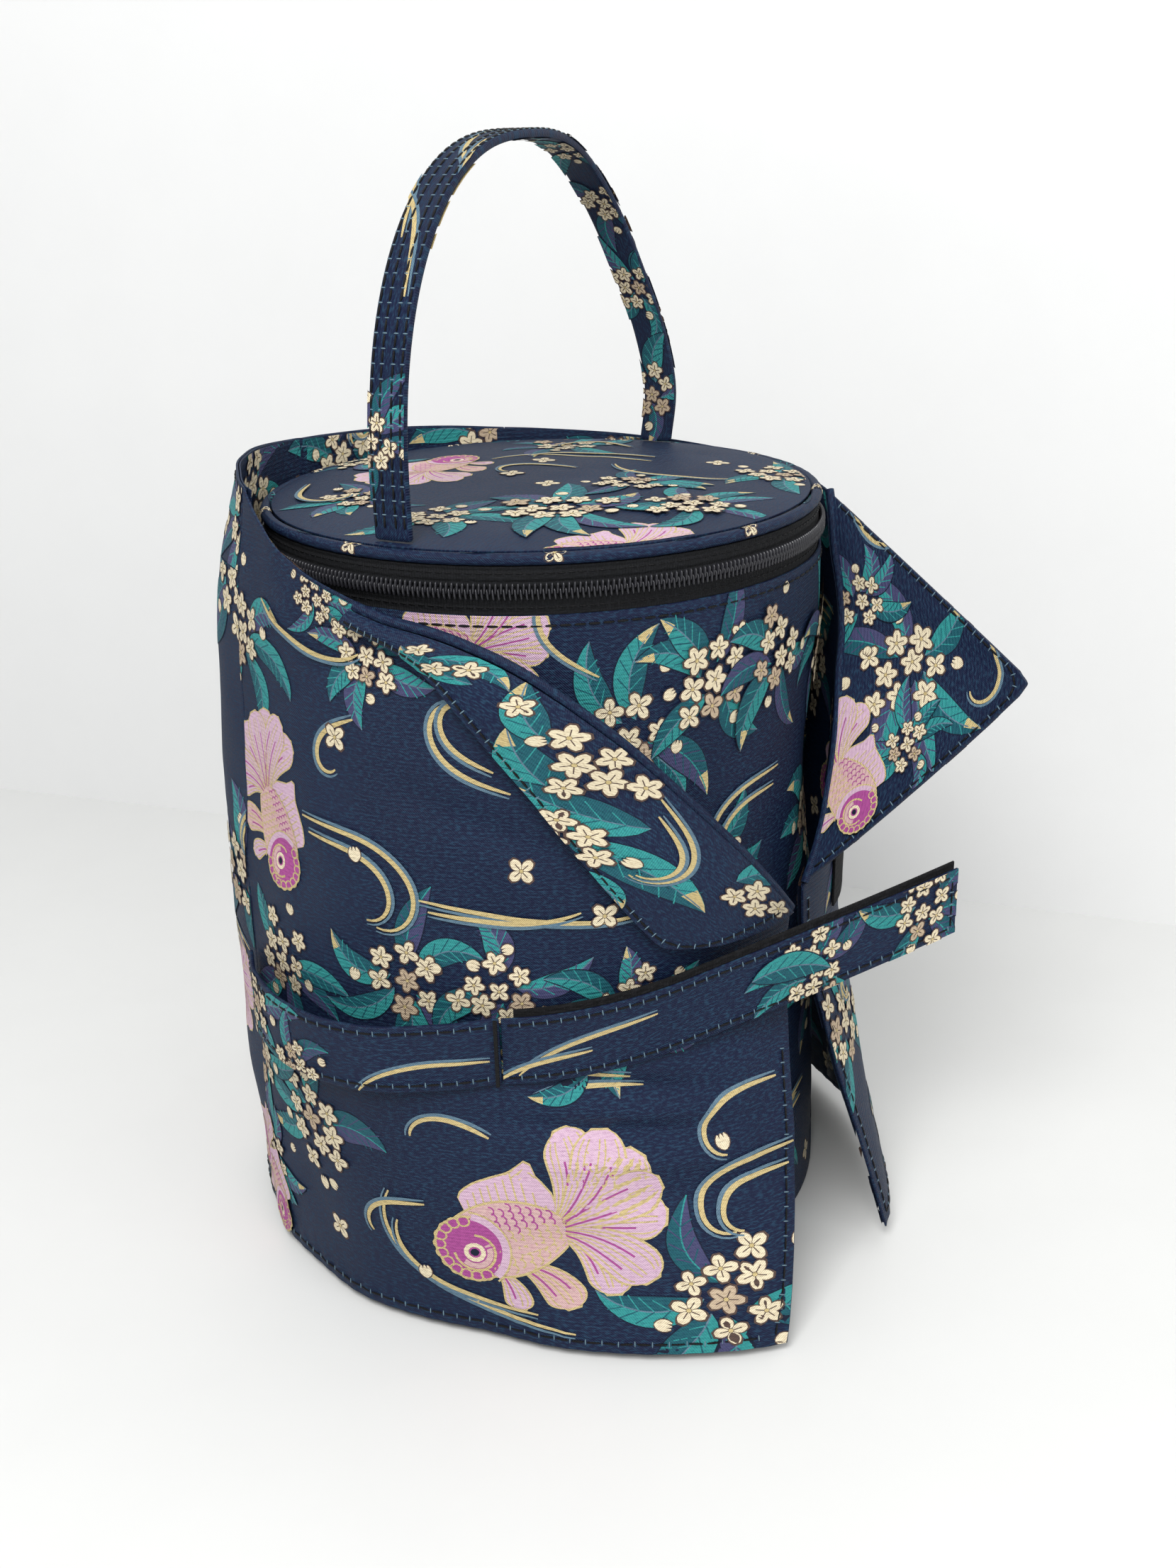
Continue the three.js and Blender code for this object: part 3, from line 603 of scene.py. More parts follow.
@dataclass
class Cloth:
    """A flat cut of cloth and the surface that it lies on.

    at carries flat places to the middle of the cloth; cut spreads a unit square over the flat cut;
    outline is the cut's convex border, anticlockwise, which trims the woven figure, and empty without one.
    """

    name: str
    at: Surface
    cut: Cut
    outline: Sequence[Pair]
    steps: tuple[int, int]
    thickness: float
    held: Held
    slot: str = "outer_brocade"
    yarn: Yarn = NAVY
    edge: float = 0.35
    weld: bool = False
    area: float = 0.0

    @classmethod
    def oblong(cls, name: str, at: Surface, along: Pair, up: Pair,
               *rest: object, **more: object) -> "Cloth":
        """A cloth whose flat cut is a rectangle.

        Args:
            name: The piece's name.
            at: The surface that it lies on.
            along: Where the cut starts and ends along the cloth.
            up: Where it starts and ends up the cloth.
            *rest: The other values, from steps on.
            **more: Other values by name.

        Returns:
            The cloth.
        """
        (x0, x1), (y0, y1) = along, up
        return cls(name, at, lambda u, v: (x0 + (x1 - x0) * u, y0 + (y1 - y0) * v),
                   [(x0, y0), (x1, y0), (x1, y1), (x0, y1)], *rest, **more)

    def lifted(self, x: Array, y: Array, lift: Array | float) -> tuple[Array, Array]:
        """Points over the cloth and the way that it faces there.

        Args:
            x: Flat places along the cloth.
            y: Flat places up the cloth.
            lift: Height over the middle of the cloth.

        Returns:
            The points, and the unit normals.
        """
        e = 0.4
        normal = np.cross(self.at(x + e, y) - self.at(x - e, y), self.at(x, y + e) - self.at(x, y - e))
        normal /= np.linalg.norm(normal, axis=-1, keepdims=True) + 1e-12
        return self.at(x, y) + normal * np.asarray(lift)[..., None], normal

    def build(self, *nodes: str, lift: float = 0.0) -> Object:
        """Makes the piece of cloth.

        Args:
            *nodes: CAD nodes that it stands for.
            lift: Height of its middle over the surface.

        Returns:
            The piece.
        """
        deselect()
        bpy.ops.mesh.primitive_grid_add(x_subdivisions=self.steps[0], y_subdivisions=self.steps[1], size=1)
        piece = bpy.context.object
        piece.name = piece.data.name = self.name
        mesh = piece.data
        co = np.empty(len(mesh.vertices) * 3)
        mesh.vertices.foreach_get("co", co)
        u, v = np.clip(co.reshape(-1, 3)[:, 0] + 0.5, 0, 1), np.clip(co.reshape(-1, 3)[:, 1] + 0.5, 0, 1)
        x, y = self.cut(u, v)
        flat_map(mesh, x, y)
        points, _ = self.lifted(x, y, lift)
        mesh.vertices.foreach_set("co", (points * MM).ravel())
        mesh.update()
        if self.weld:
            choose(piece)
            bpy.ops.object.mode_set(mode="EDIT")
            bpy.ops.mesh.select_all(action="SELECT")
            bpy.ops.mesh.remove_doubles(threshold=0.02 * MM)
            bpy.ops.object.mode_set(mode="OBJECT")
        self.area = sum(p.area for p in mesh.polygons) / (MM * MM)
        apply(piece, "SOLIDIFY", thickness=self.thickness * MM, offset=0.0, use_even_offset=True)
        if self.edge:
            apply(piece, "BEVEL", width=self.edge * MM, segments=2, limit_method="ANGLE", angle_limit=math.radians(50))
        choose(piece)
        bpy.ops.object.shade_smooth_by_angle(angle=math.radians(40))
        mesh = piece.data
        mesh.materials.append(Finishes.yarn(self.yarn))
        self.held.hold(piece)
        if nodes:
            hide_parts(*nodes)
        log.info("%s: %d faces, %.0f mm2 of cloth", self.name, len(mesh.polygons), self.area)
        return piece


def linked(name: str, data: ID) -> Object:
    """A new object in the scene.

    Args:
        name: Its name.
        data: Its mesh, camera or lamp.

    Returns:
        The object.
    """
    made = bpy.data.objects.new(name, data)
    bpy.context.collection.objects.link(made)
    return made


def solid(name: str, points: Array, faces: Sequence[Sequence[int]], materials: Sequence[Material],
          which: Array) -> Object:
    """A smooth piece from its points and faces.

    Args:
        name: The piece's name.
        points: Its points in millimetres.
        faces: Point numbers of each face.
        materials: Its finishes.
        which: Number of each face's finish.

    Returns:
        The piece.
    """
    mesh = bpy.data.meshes.new(name)
    mesh.from_pydata((points * MM).tolist(), [], faces)
    for material in materials:
        mesh.materials.append(material)
    mesh.polygons.foreach_set("material_index", np.asarray(which).astype(np.int32))
    mesh.polygons.foreach_set("use_smooth", [True] * len(faces))
    return linked(name, mesh)


def flat_map(mesh: Mesh, x: Array, y: Array) -> None:
    """Stores each vertex's flat place, in centimetres, as the UV map that weaves follow.

    Args:
        mesh: The mesh.
        x: Flat places along the cloth, one for each vertex.
        y: Flat places up the cloth, one for each vertex.
    """
    while mesh.uv_layers:
        mesh.uv_layers.remove(mesh.uv_layers[0])
    layer = mesh.uv_layers.new(name="flat")
    index = np.empty(len(mesh.loops), int)
    mesh.loops.foreach_get("vertex_index", index)
    layer.data.foreach_set("uv", (np.stack([x, y], -1)[index] * 0.1).ravel())


# --- woven figure
@dataclass(frozen=True)
class Strip:
    """A ribbon of one yarn along a line, with its reach to either side."""

    line: Array
    left: Array
    right: Array
    yarn: Yarn
    layer: int


def bowed(length: float, bend: float, count: int) -> Array:
    """A line of points from 0 along x that bows by bend in its middle."""
    t = np.linspace(0, 1, count)
    return np.stack([t * length, 4 * bend * t * (1 - t)], -1)


def turned(points: Array, angle: float, x: float = 0.0, y: float = 0.0) -> Array:
    """Points turned by an angle in degrees and then moved."""
    c, s = math.cos(math.radians(angle)), math.sin(math.radians(angle))
    return points @ np.array([[c, s], [-s, c]]) + (x, y)


def leftwards(line: Array) -> Array:
    """Unit steps to the left of a flat line, one for each of its points.

    Args:
        line: The line.

    Returns:
        The steps.
    """
    ahead = np.gradient(line, axis=0)
    ahead /= np.linalg.norm(ahead, axis=1, keepdims=True) + 1e-12
    return np.stack([-ahead[:, 1], ahead[:, 0]], -1)


def ribbon(line: Array, width: float | Array, yarn: Yarn, layer: int) -> Strip:
    """A strip of even or given width about a line."""
    half = np.broadcast_to(np.asarray(width, float) / 2, len(line)).copy()
    return Strip(line, half, half, yarn, layer)


class Motifs:
    """Draws the figure's parts about their own origin, in millimetres."""

    @staticmethod
    def leaf(length: float, width: float, bend: float, light: Yarn = TEAL, dark: Yarn = SEA,
             tip: bool = False) -> list[Strip]:
        """A slender leaf with a midrib and side veins.

        Args:
            length: Stalk to tip.
            width: Widest place.
            bend: How far it bows.
            light: Yarn of one half.
            dark: Yarn of the other.
            tip: Gives it a gold tip.

        Returns:
            Its strips.
        """
        line = bowed(length, bend, 15)
        t = np.linspace(0, 1, 15)
        half = width / 2 * np.sin(np.pi * t ** 0.85) ** 0.85 + 0.05
        zero = np.zeros_like(half)
        strips = [ribbon(line, 2 * half + 0.7, INK, 1), Strip(line, half, zero, light, 2),
                  Strip(line, zero, half, dark, 2), ribbon(line, 0.45, MIST if light is TEAL else TEAL, 3)]
        for k in (2, 4, 6, 8, 10):
            ahead = line[k + 2] - line[k]
            ahead /= np.linalg.norm(ahead) + 1e-9
            side = np.array([-ahead[1], ahead[0]])
            for sign, yarn in ((1, dark), (-1, light)):
                end = line[k] + ahead * half[k] * 0.9 + side * sign * half[k] * 0.85
                strips.append(ribbon(np.linspace(line[k], end, 4), 0.38, yarn, 3))
        if tip:
            strips.append(Strip(line[11:], half[11:] * 0.95, half[11:] * 0.2, GOLD, 3))
        return strips

    @staticmethod
    def flower(radius: float, petals: int = 5, yarn: Yarn = CREAM) -> list[Strip]:
        """An open blossom of separate petals.

        Args:
            radius: Centre to petal tip.
            petals: How many petals.
            yarn: The petals' yarn.

        Returns:
            Its strips.
        """
        strips = []
        t = np.linspace(0, 1, 6)
        half = radius * (0.36 if petals < 5 else 0.33) * np.sin(np.pi * (0.07 + 0.84 * t)) ** 0.7
        for k in range(petals):
            angle = k * 360 / petals
            line = turned(np.stack([radius * (0.14 + 0.84 * t), np.zeros(6)], -1), angle)
            rim = turned(np.stack([radius * (0.10 + 1.02 * t), np.zeros(6)], -1), angle)
            strips.append(ribbon(rim, 2 * half + 0.6, BRONZE, 4))
            strips.append(ribbon(line, 2 * half, yarn, 5))
            strips.append(ribbon(line[:4], 0.32, BRONZE, 6))
        dot = np.stack([np.linspace(-0.13, 0.13, 4) * radius, np.zeros(4)], -1)
        strips.append(ribbon(dot, np.array([0.1, 0.26, 0.26, 0.1]) * radius, GOLD, 7))
        return strips

    @staticmethod
    def bud(length: float) -> list[Strip]:
        """A closed bud of three petals.

        Args:
            length: Its length.

        Returns:
            Its strips.
        """
        strips = []
        for bend, angle in ((0.8, 12), (-0.8, -12), (0.0, 0)):
            line = turned(bowed(length, bend, 6), angle)
            half = length * 0.17 * np.sin(np.pi * np.linspace(0.08, 0.94, 6))
            strips += [ribbon(line, 2 * half + 0.7, BRONZE, 4), ribbon(line, 2 * half, CREAM, 5)]
        return strips

    @staticmethod
    def scroll(length: float, curl: float, width: float = 1.5) -> list[Strip]:
        """A water line that runs out long and curls round at its end.

        Args:
            length: Its whole length.
            curl: Degrees that it turns in all; the sign gives the side.
            width: Its widest place.

        Returns:
            Its strips, gold with a pale shadow beside it.
        """
        count = 30
        t = np.linspace(0, 1, count)
        heading = np.radians(curl) * t ** 2.6
        step = length / (count - 1)
        line = np.stack([np.cumsum(np.cos(heading)) * step, np.cumsum(np.sin(heading)) * step], -1)
        normal = np.stack([-np.sin(heading), np.cos(heading)], -1)
        taper = np.sin(np.pi * np.clip(t * 0.94 + 0.03, 0, 1)) ** 0.45
        beside = line - normal * math.copysign(width * 0.85, curl)
        return [ribbon(beside, width * 0.75 * taper, MIST, 1), ribbon(line, width * taper, GOLD, 2)]

    @staticmethod
    def fin(length: float, width: float, bend: float, rays: int, layer: int, yarn: Yarn = LILAC) -> list[Strip]:
        """A veil-like fin that widens to a waved end.

        Args:
            length: Root to end.
            width: Width near the end.
            bend: How far it bows.
            rays: Number of rays.
            layer: Where it lies in the stack.
            yarn: Its yarn.

        Returns:
            Its strips.
        """
        t = np.sin(np.pi * 0.5 * np.linspace(0, 1, 14))
        line = np.stack([t * length, 4 * bend * t * (1 - t)], -1)
        half = width / 2 * (0.12 + 0.88 * np.sin(np.pi * 0.5 * np.clip(t * 1.2, 0, 1)) ** 1.2)
        half *= np.sqrt(1 - 0.94 * np.clip((t - 0.8) / 0.2, 0, 1) ** 2)
        rim = line.copy()
        rim[-1] += (line[-1] - line[-2]) / np.linalg.norm(line[-1] - line[-2]) * 0.6
        strips = [ribbon(rim, 2 * half + 1.2, GOLD, layer), ribbon(line, 2 * half, yarn, layer + 1)]
        for k in range(rays):
            share = (k + 0.5) / rays * 2 - 1
            ray = line + leftwards(line) * (half * share * 0.92)[:, None]
            strips.append(ribbon(ray[1:8], 0.5, MAGENTA, layer + 2) if k % 3 == 1 else
                          ribbon(ray[1:-3], 0.36, GOLD, layer + 2))
        return strips

    @classmethod
    def fish(cls, length: float = 56) -> list[Strip]:
        """A fancy goldfish of the traditional kind, head at the left, veil tail at the right.

        Args:
            length: Nose to the tail's end.

        Returns:
            Its strips.
        """
        s = length / 56
        strips: list[Strip] = []

        def put(parts: list[Strip], angle: float, x: float, y: float) -> None:
            """Adds parts turned and moved on the fish."""
            for p in parts:
                strips.append(Strip(turned(p.line, angle, x, y) * s, p.left * s, p.right * s, p.yarn, p.layer))

        for k, (angle, long, wide, bend) in enumerate(((64, 27, 11, -4), (-70, 21, 9, 4), (25, 29, 12, -1),
                                                       (-13, 26, 11, 2), (45, 29, 12, -3), (-50, 25, 11, 3),
                                                       (6, 28, 12, 1))):
            put(cls.fin(long, wide, bend, 7, 1 if k < 4 else 4), angle, 28, 1)
        put(cls.fin(16, 9, 2, 6, 1, ROSE), -58, 17, -6)
        put(cls.fin(11, 6, 1, 4, 4), -84, 12, -7)
        t = np.linspace(0, 1, 22)
        body = np.stack([t * 31, 1.6 * np.sin(np.pi * t)], -1)
        half = 10.2 * np.sin(np.pi * np.clip(t * 0.86 + 0.07, 0, 1)) ** 0.62
        back = np.stack([body[:, 0], body[:, 1] + half - 1], -1)
        sail = ((10, 0.5), (11, 5), (14, 7), (18, 8), (21, 9.5), (23.6, 13.5), (24.6, 10), (26.5, 7.5), (28.5, 5),
                (30, 0.5))
        spots = np.linspace(10, 30, 21)
        base = np.stack([spots, np.interp(spots, back[:, 0], back[:, 1])], -1)
        tall, low = curve(sail, spots), np.full(len(spots), 0.5)
        put([Strip(base, tall + 0.6, low, GOLD, 1), Strip(base, tall, low, LILAC, 2)], 0, 0, 0)
        for spot, reach in zip(base[1:-1:2], tall[1:-1:2]):
            put([ribbon(np.linspace(spot, spot + (0.1 * reach, 0.8 * reach), 4), 0.4, GOLD, 3)], 0, 0, 0)
        put([ribbon(body, 2 * half + 1.3, GOLD, 7), ribbon(body, 2 * half, ROSE, 8)], 0, 0, 0)
        for i in range(7):
            for j in range(-4, 5):
                x, y = 15.5 + i * 2.2, (j + (i % 2) * 0.5) * 2.1 + 1.4
                room = float(np.interp(x, body[:, 0], half)) - 1.2
                if abs(y - 1.4) < room:
                    a = np.radians(np.linspace(-80, 80, 5))
                    scale = np.stack([1.25 * np.cos(a), 1.2 * np.sin(a)], -1)
                    put([ribbon(scale, 0.42, MAGENTA if j > 0 else GOLD, 9)], 0, x, y)
        turn = np.radians(np.linspace(0, 180, 17))
        for reach, yarn, layer in ((0.6, GOLD, 10), (0, MAGENTA, 11)):
            head = np.stack([7 - (8.4 + reach) * np.cos(turn), np.full(17, 0.6)], -1)
            put([ribbon(head, 2 * (9.2 + reach) * np.sin(turn), yarn, layer)], 0, 0, 0)

        cheek = [(1.5, 7 + 7.7 * math.cos(a), 0.6 + 8.2 * math.sin(a), 0.5, GOLD, 12, 0, 360)
                 for a in np.radians(range(80, 281, 20))]
        for radius, x, y, width, yarn, layer, start, end in (
                *cheek, (10.2, 5.6, 0.6, 2.0, LILAC, 12, -60, 60), (11.4, 5.6, 0.6, 0.5, GOLD, 13, -64, 64),
                (5.2, 7.6, -0.8, 0.7, GOLD, 12, -190, 70), (3.9, 7.6, -0.8, 1.5, ROSE, 12, -150, 20),
                (2.2, 7.6, -0.8, 1.2, CREAM, 13, 0, 360)):
            at = np.radians(np.linspace(start, end, 13))
            put([ribbon(radius * np.stack([np.cos(at), np.sin(at)], -1), width, yarn, layer)], 0, x, y)
        put([ribbon(np.array([[-1.1, 0], [-0.4, 0], [0.4, 0], [1.1, 0]]), np.array([0.7, 2.0, 2.0, 0.7]), INK, 14)],
            0, 7.6, -0.8)
        return strips


class Figure:
    """The woven figure on one piece of cloth.

    clear is the lowest layer's height over the cloth and step each further layer's; widest is the widest
    face of a strip, and cell the side of the squares in which layers are counted.
    """

    clear: float = 0.06
    step: float = 0.018
    widest: float = 3.2
    cell: int = 4

    def __init__(self, cloth: Cloth, seed: int) -> None:
        """Starts an empty figure.

        Args:
            cloth: The cloth that it is woven into.
            seed: Fixes its variation.
        """
        self.cloth = cloth
        self.random = random.Random(seed)
        self.quads: list[Array] = []
        self.levels: list[Array] = []
        self.inks: list[Array] = []
        self.yarns: list[Yarn] = []
        self.taken: list[tuple[float, float, float]] = []
        self.tops: dict[tuple[int, int], int] = {}
        self.outline = np.array(cloth.outline, float)

    def _room(self, points: Array) -> Array:
        """Least distance of each point inside the outline's edges.

        Args:
            points: Flat places.

        Returns:
            One distance for each point, negative outside.
        """
        least = np.full(points.shape[:-1], 1e9)
        for a, b in zip(self.outline, np.roll(self.outline, -1, axis=0)):
            along = (b - a) / np.linalg.norm(b - a)
            least = np.minimum(least, along[0] * (points[..., 1] - a[1]) - along[1] * (points[..., 0] - a[0]))
        return least

    def _trim(self, polygon: Array) -> Array:
        """One polygon cut back to the outline.

        Args:
            polygon: Its corners.

        Returns:
            The corners that are left, none where it lies outside.
        """
        kept = [tuple(p) for p in polygon]
        for a, b in zip(self.outline, np.roll(self.outline, -1, axis=0)):
            side = lambda p: (b[0] - a[0]) * (p[1] - a[1]) - (b[1] - a[1]) * (p[0] - a[0])
            result = []
            for p, q in zip(kept, kept[1:] + kept[:1]):
                dp, dq = side(p), side(q)
                if dp >= 0:
                    result.append(p)
                if (dp >= 0) != (dq >= 0):
                    t = dp / (dp - dq)
                    result.append((p[0] + (q[0] - p[0]) * t, p[1] + (q[1] - p[1]) * t))
            kept = result
            if len(kept) < 3:
                return np.empty((0, 2))
        return np.array(kept)

    def put(self, strips: Sequence[Strip], x: float, y: float, angle: float = 0.0, mirror: bool = False) -> None:
        """Weaves a motif into the cloth.

        Args:
            strips: The motif.
            x: Its place along the cloth.
            y: Its place up the cloth.
            angle: Degrees that it is turned.
            mirror: Turns it over.
        """
        nets = []
        for strip in strips:
            line = strip.line * ((1, -1) if mirror else (1, 1))
            left, right = (strip.right, strip.left) if mirror else (strip.left, strip.right)
            line = turned(line, angle, x, y)
            parts = max(1, math.ceil(float((left + right).max()) / self.widest))
            share = np.linspace(0, 1, parts + 1)
            reach = -right[:, None] + (left + right)[:, None] * share
            nets.append(line[:, None, :] + leftwards(line)[:, None, :] * reach[..., None])
        cells = {tuple(c) for net in nets for c in (net.reshape(-1, 2) // self.cell).astype(int).tolist()}
        lowest = min(strip.layer for strip in strips)
        base = max(self.tops.get(c, 0) for c in cells) - lowest
        for c in cells:
            self.tops[c] = base + max(strip.layer for strip in strips) + 1
        for strip, net in zip(strips, nets):
            quads = np.stack([net[:-1, :-1], net[1:, :-1], net[1:, 1:], net[:-1, 1:]], axis=2).reshape(-1, 4, 2)
            room = self._room(quads)
            if strip.yarn not in self.yarns:
                self.yarns.append(strip.yarn)
            ink = self.yarns.index(strip.yarn)
            for quad, least in zip(quads, room):
                if least.max() <= 0 and least.min() < -8:
                    continue
                polygon = quad if least.min() >= 0 else self._trim(quad)
                if len(polygon) >= 3:
                    self.quads.append(polygon)
                    self.levels.append(np.full(len(polygon), base + strip.layer))
                    self.inks.append(ink)

    def cluster(self, x: float, y: float, angle: float, size: float = 1.0) -> None:
        """A spray of small blossoms among leaves.

        Args:
            x: Its place along the cloth.
            y: Its place up the cloth.
            angle: Degrees that the spray is turned.
            size: Its scale.
        """
        rng = self.random
        self.taken.append((x, y, 30 * size))
        side = rng.choice((-1, 1))
        for k, turn in enumerate((-158, -118, -74, 22, 66, 148)):
            if k == 3 and rng.random() < 0.4:
                continue
            turn = angle + turn * side + rng.uniform(-12, 12)
            a = math.radians(turn)
            start = (x + 6 * size * math.cos(a), y + 6 * size * math.sin(a))
            light, dark = ((TEAL, SEA), (TEAL, SEA), (TEAL, PLUM), (SEA, PLUM))[rng.randrange(4)]
            self.put(Motifs.leaf(rng.uniform(24, 34) * size, rng.uniform(8.5, 12.5) * size,
                                 side * rng.uniform(2, 7) * size, light, dark, rng.random() < 0.4),
                     *start, turn + rng.uniform(-20, 20))
        spots = [(0, 0), (9.8, 2.0), (-9.6, 2.6), (4.6, 9.8), (-5.4, 10.2), (6.0, -8.4), (-4.8, -8.2), (14.6, 10.4),
                 (16.2, -5.4), (-14.8, -6.4)]
        for px, py in spots[: rng.randint(7, 10)]:
            fx, fy = turned(np.array([px, py], float) * size, angle)
            yarn = SAND if rng.random() < 0.18 else CREAM
            self.put(Motifs.flower(rng.uniform(4.1, 5.0) * size, rng.choice((4, 5, 5)), yarn),
                     x + fx + rng.uniform(-1, 1), y + fy + rng.uniform(-1, 1), rng.uniform(0, 72))
        for px, py in ((24, 1), (-20, 4), (1, -18)):
            fx, fy = turned(np.array([px, py], float) * size, angle)
            self.put(Motifs.bud(4.6 * size), x + fx, y + fy, angle + rng.uniform(-60, 60))

    def clusters(self, *rows: tuple[float, float, float, float]) -> None:
        """Several sprays, each with what cluster takes."""
        for row in rows:
            self.cluster(*row)

    def motifs(self, *rows: tuple[object, ...]) -> None:
        """Several motifs, each with what put takes."""
        for row in rows:
            self.put(*row)

    def waters(self, x: float, y: float, angle: float, size: float = 1.0, curl: float = 250) -> None:
        """Two or three water lines that run together.

        Args:
            x: Their place along the cloth.
            y: Their place up the cloth.
            angle: Degrees that they are turned.
            size: Their scale.
            curl: Degrees that the longest one turns.
        """
        rng = self.random
        for k, (length, share) in enumerate(((52, 1.0), (34, 0.75), (26, 0.5))[: rng.randint(2, 3)]):
            dx, dy = turned(np.array([k * 6.0, math.copysign(k * 5.0, curl)]) * size, angle)
            self.put(Motifs.scroll(length * size, curl * share), x + dx, y + dy, angle + rng.uniform(-2, 2))

    def scatter(self, spacing: float = 62, fish: float = 0.12) -> None:
        """Fills the whole cut with an all-over figure.

        Args:
            spacing: Distance between sprays.
            fish: Share of places that hold a fish in place of a spray.
        """
        low, high = self.outline.min(0), self.outline.max(0)
        rng = self.random
        for row, y in enumerate(np.arange(low[1] + spacing * 0.3, high[1] + spacing * 0.3, spacing * 0.8)):
            for x in np.arange(low[0] + spacing * (0.25 if row % 2 else 0.75), high[0] + spacing * 0.3, spacing):
                px, py = x + rng.uniform(-5, 5), y + rng.uniform(-5, 5)
                near = min([math.hypot(px - a, py - b) - r for a, b, r in self.taken], default=99)
                if near < spacing * 0.42 or float(self._room(np.array([px, py]))) < -24:
                    continue
                if rng.random() < fish:
                    self.put(Motifs.fish(54), px - 24, py, rng.uniform(-30, 30))
                    self.taken.append((px, py, 30))
                else:
                    self.cluster(px, py, rng.uniform(0, 360), rng.uniform(0.85, 1.05))
                self.waters(px + spacing * 0.45, py + spacing * 0.36, rng.uniform(160, 200), 0.9,
                            rng.choice((-1, 1)) * rng.uniform(180, 240))
                self.put(Motifs.flower(4.4, 4), px + spacing * 0.52, py - spacing * 0.12, rng.uniform(0, 72))

    def build(self, face: float = 1.0) -> Object | None:
        """Makes the figure as a thin raised layer on its cloth.

        Args:
            face: 1 for the cloth's outer face, -1 for its inner one.

        Returns:
            The piece, or None where nothing was woven.
        """
        if not self.quads:
            return None
        flat = np.concatenate(self.quads)
        level = np.concatenate(self.levels)
        lift = face * (self.cloth.thickness / 2 + self.clear + self.step * level)
        points, _ = self.cloth.lifted(flat[:, 0], flat[:, 1], lift)
        faces, at = [], 0
        for polygon in self.quads:
            ring = list(range(at, at + len(polygon)))
            faces.append(ring if face > 0 else ring[::-1])
            at += len(polygon)
        piece = solid(self.cloth.name + "_figure", points, faces, [Finishes.yarn(y) for y in self.yarns], self.inks)
        flat_map(piece.data, flat[:, 0], flat[:, 1])
        self.cloth.held.hold(piece)
        log.info("%s: %d faces", piece.name, len(faces))
        return piece


# --- repeated small pieces
@dataclass(frozen=True)
class Template:
    """A small shape that is modelled once and copied many times."""

    points: Array
    faces: list[tuple[int, ...]]

    @staticmethod
    def bead(segments: int = 6, rings: int = 4, square: float = 1.0) -> "Template":
        """A rounded bar of unit size, long along x.

        Args:
            segments: Faces round it.
            rings: Faces along it.
            square: Above 1 fills out its ends.

        Returns:
            The shape.
        """
        deselect()
        bpy.ops.mesh.primitive_uv_sphere_add(segments=segments, ring_count=rings, radius=0.5)
        piece = bpy.context.object
        bpy.ops.object.mode_set(mode="EDIT")
        bpy.ops.mesh.select_all(action="SELECT")
        bpy.ops.transform.rotate(value=math.pi / 2, orient_axis="Y", center_override=(0, 0, 0))
        bpy.ops.object.mode_set(mode="OBJECT")
        points = np.array([v.co[:] for v in piece.data.vertices])
        points[:, 0] = 0.5 * np.sign(points[:, 0]) * (2 * np.abs(points[:, 0])) ** (1 / square)
        faces = [tuple(p.vertices) for p in piece.data.polygons]
        bpy.data.objects.remove(piece)
        return Template(points, faces)


def stamp(name: str, template: Template, centres: Array, axes: Array, which: Array,
          materials: Sequence[Material], held: Held) -> Object:
    """Copies a template to many places as one piece.

    Args:
        name: The piece's name.
        template: The shape.
        centres: Where the copies go, in millimetres.
        axes: For each copy its three axes as rows, each as long as the copy is that way.
        which: Material number of each copy.
        materials: The materials.
        held: How the piece moves.

    Returns:
        The piece.
    """
    points = (template.points @ axes + centres[:, None, :]).reshape(-1, 3)
    size = len(template.points)
    faces = [tuple(i + k * size for i in f) for k in range(len(centres)) for f in template.faces]
    piece = solid(name, points, faces, materials, np.repeat(which, len(template.faces)))
    held.hold(piece)
    log.info("%s: %d copies", name, len(centres))
    return piece


@dataclass
class Stitches:
    """Rows of machine topstitching on a piece of cloth."""

    cloth: Cloth
    pitch: float = 4.4
    length: float = 3.7
    thread: float = 0.85
    tick: float = 2.1
    clear: float = 0.12

    def build(self, rows: Sequence[Sequence[Pair]], ticks: bool = True,
              name: str = "") -> Object:
        """Sews the rows.

        Args:
            rows: Flat places that each row runs through.
            ticks: Adds the pale dots where the needle pulls the weft up.
            name: The piece's name, if not the cloth's own.

        Returns:
            The piece.
        """
        centres, axes, which = [], [], []
        lift = self.cloth.thickness / 2 + self.clear
        for row in rows:
            knots = np.array(row, float)
            run = lengths(knots)
            starts = np.arange(0, run[-1] - self.length, self.pitch)
            where = lambda s: (np.interp(s, run, knots[:, 0]), np.interp(s, run, knots[:, 1]))
            (ax, ay), (bx, by) = where(starts), where(starts + self.length)
            a, _ = self.cloth.lifted(ax, ay, lift)
            b, _ = self.cloth.lifted(bx, by, lift)
            _, up = self.cloth.lifted((ax + bx) / 2, (ay + by) / 2, lift)
            ahead = b - a
            long = np.linalg.norm(ahead, axis=1, keepdims=True)
            side = np.cross(up, ahead / long)
            centres.append((a + b) / 2)
            axes.append(np.stack([ahead, side * self.thread, up * self.thread], axis=1))
            which.append(np.zeros(len(a)))
            if ticks:
                gap, up2 = self.cloth.lifted(*where(starts + (self.length + self.pitch) / 2), lift - 0.05)
                centres.append(gap)
                axes.append(np.stack([side * self.tick, ahead / long * 0.42, up2 * 0.3], axis=1))
                which.append(np.ones(len(a)))
        return stamp(name or self.cloth.name + "_stitching", Template.bead(square=1.6), np.concatenate(centres),
                     np.concatenate(axes), np.concatenate(which),
                     [Finishes.yarn(THREAD, Place.OBJECT), Finishes.yarn(TICK, Place.OBJECT)],
                     self.cloth.held)


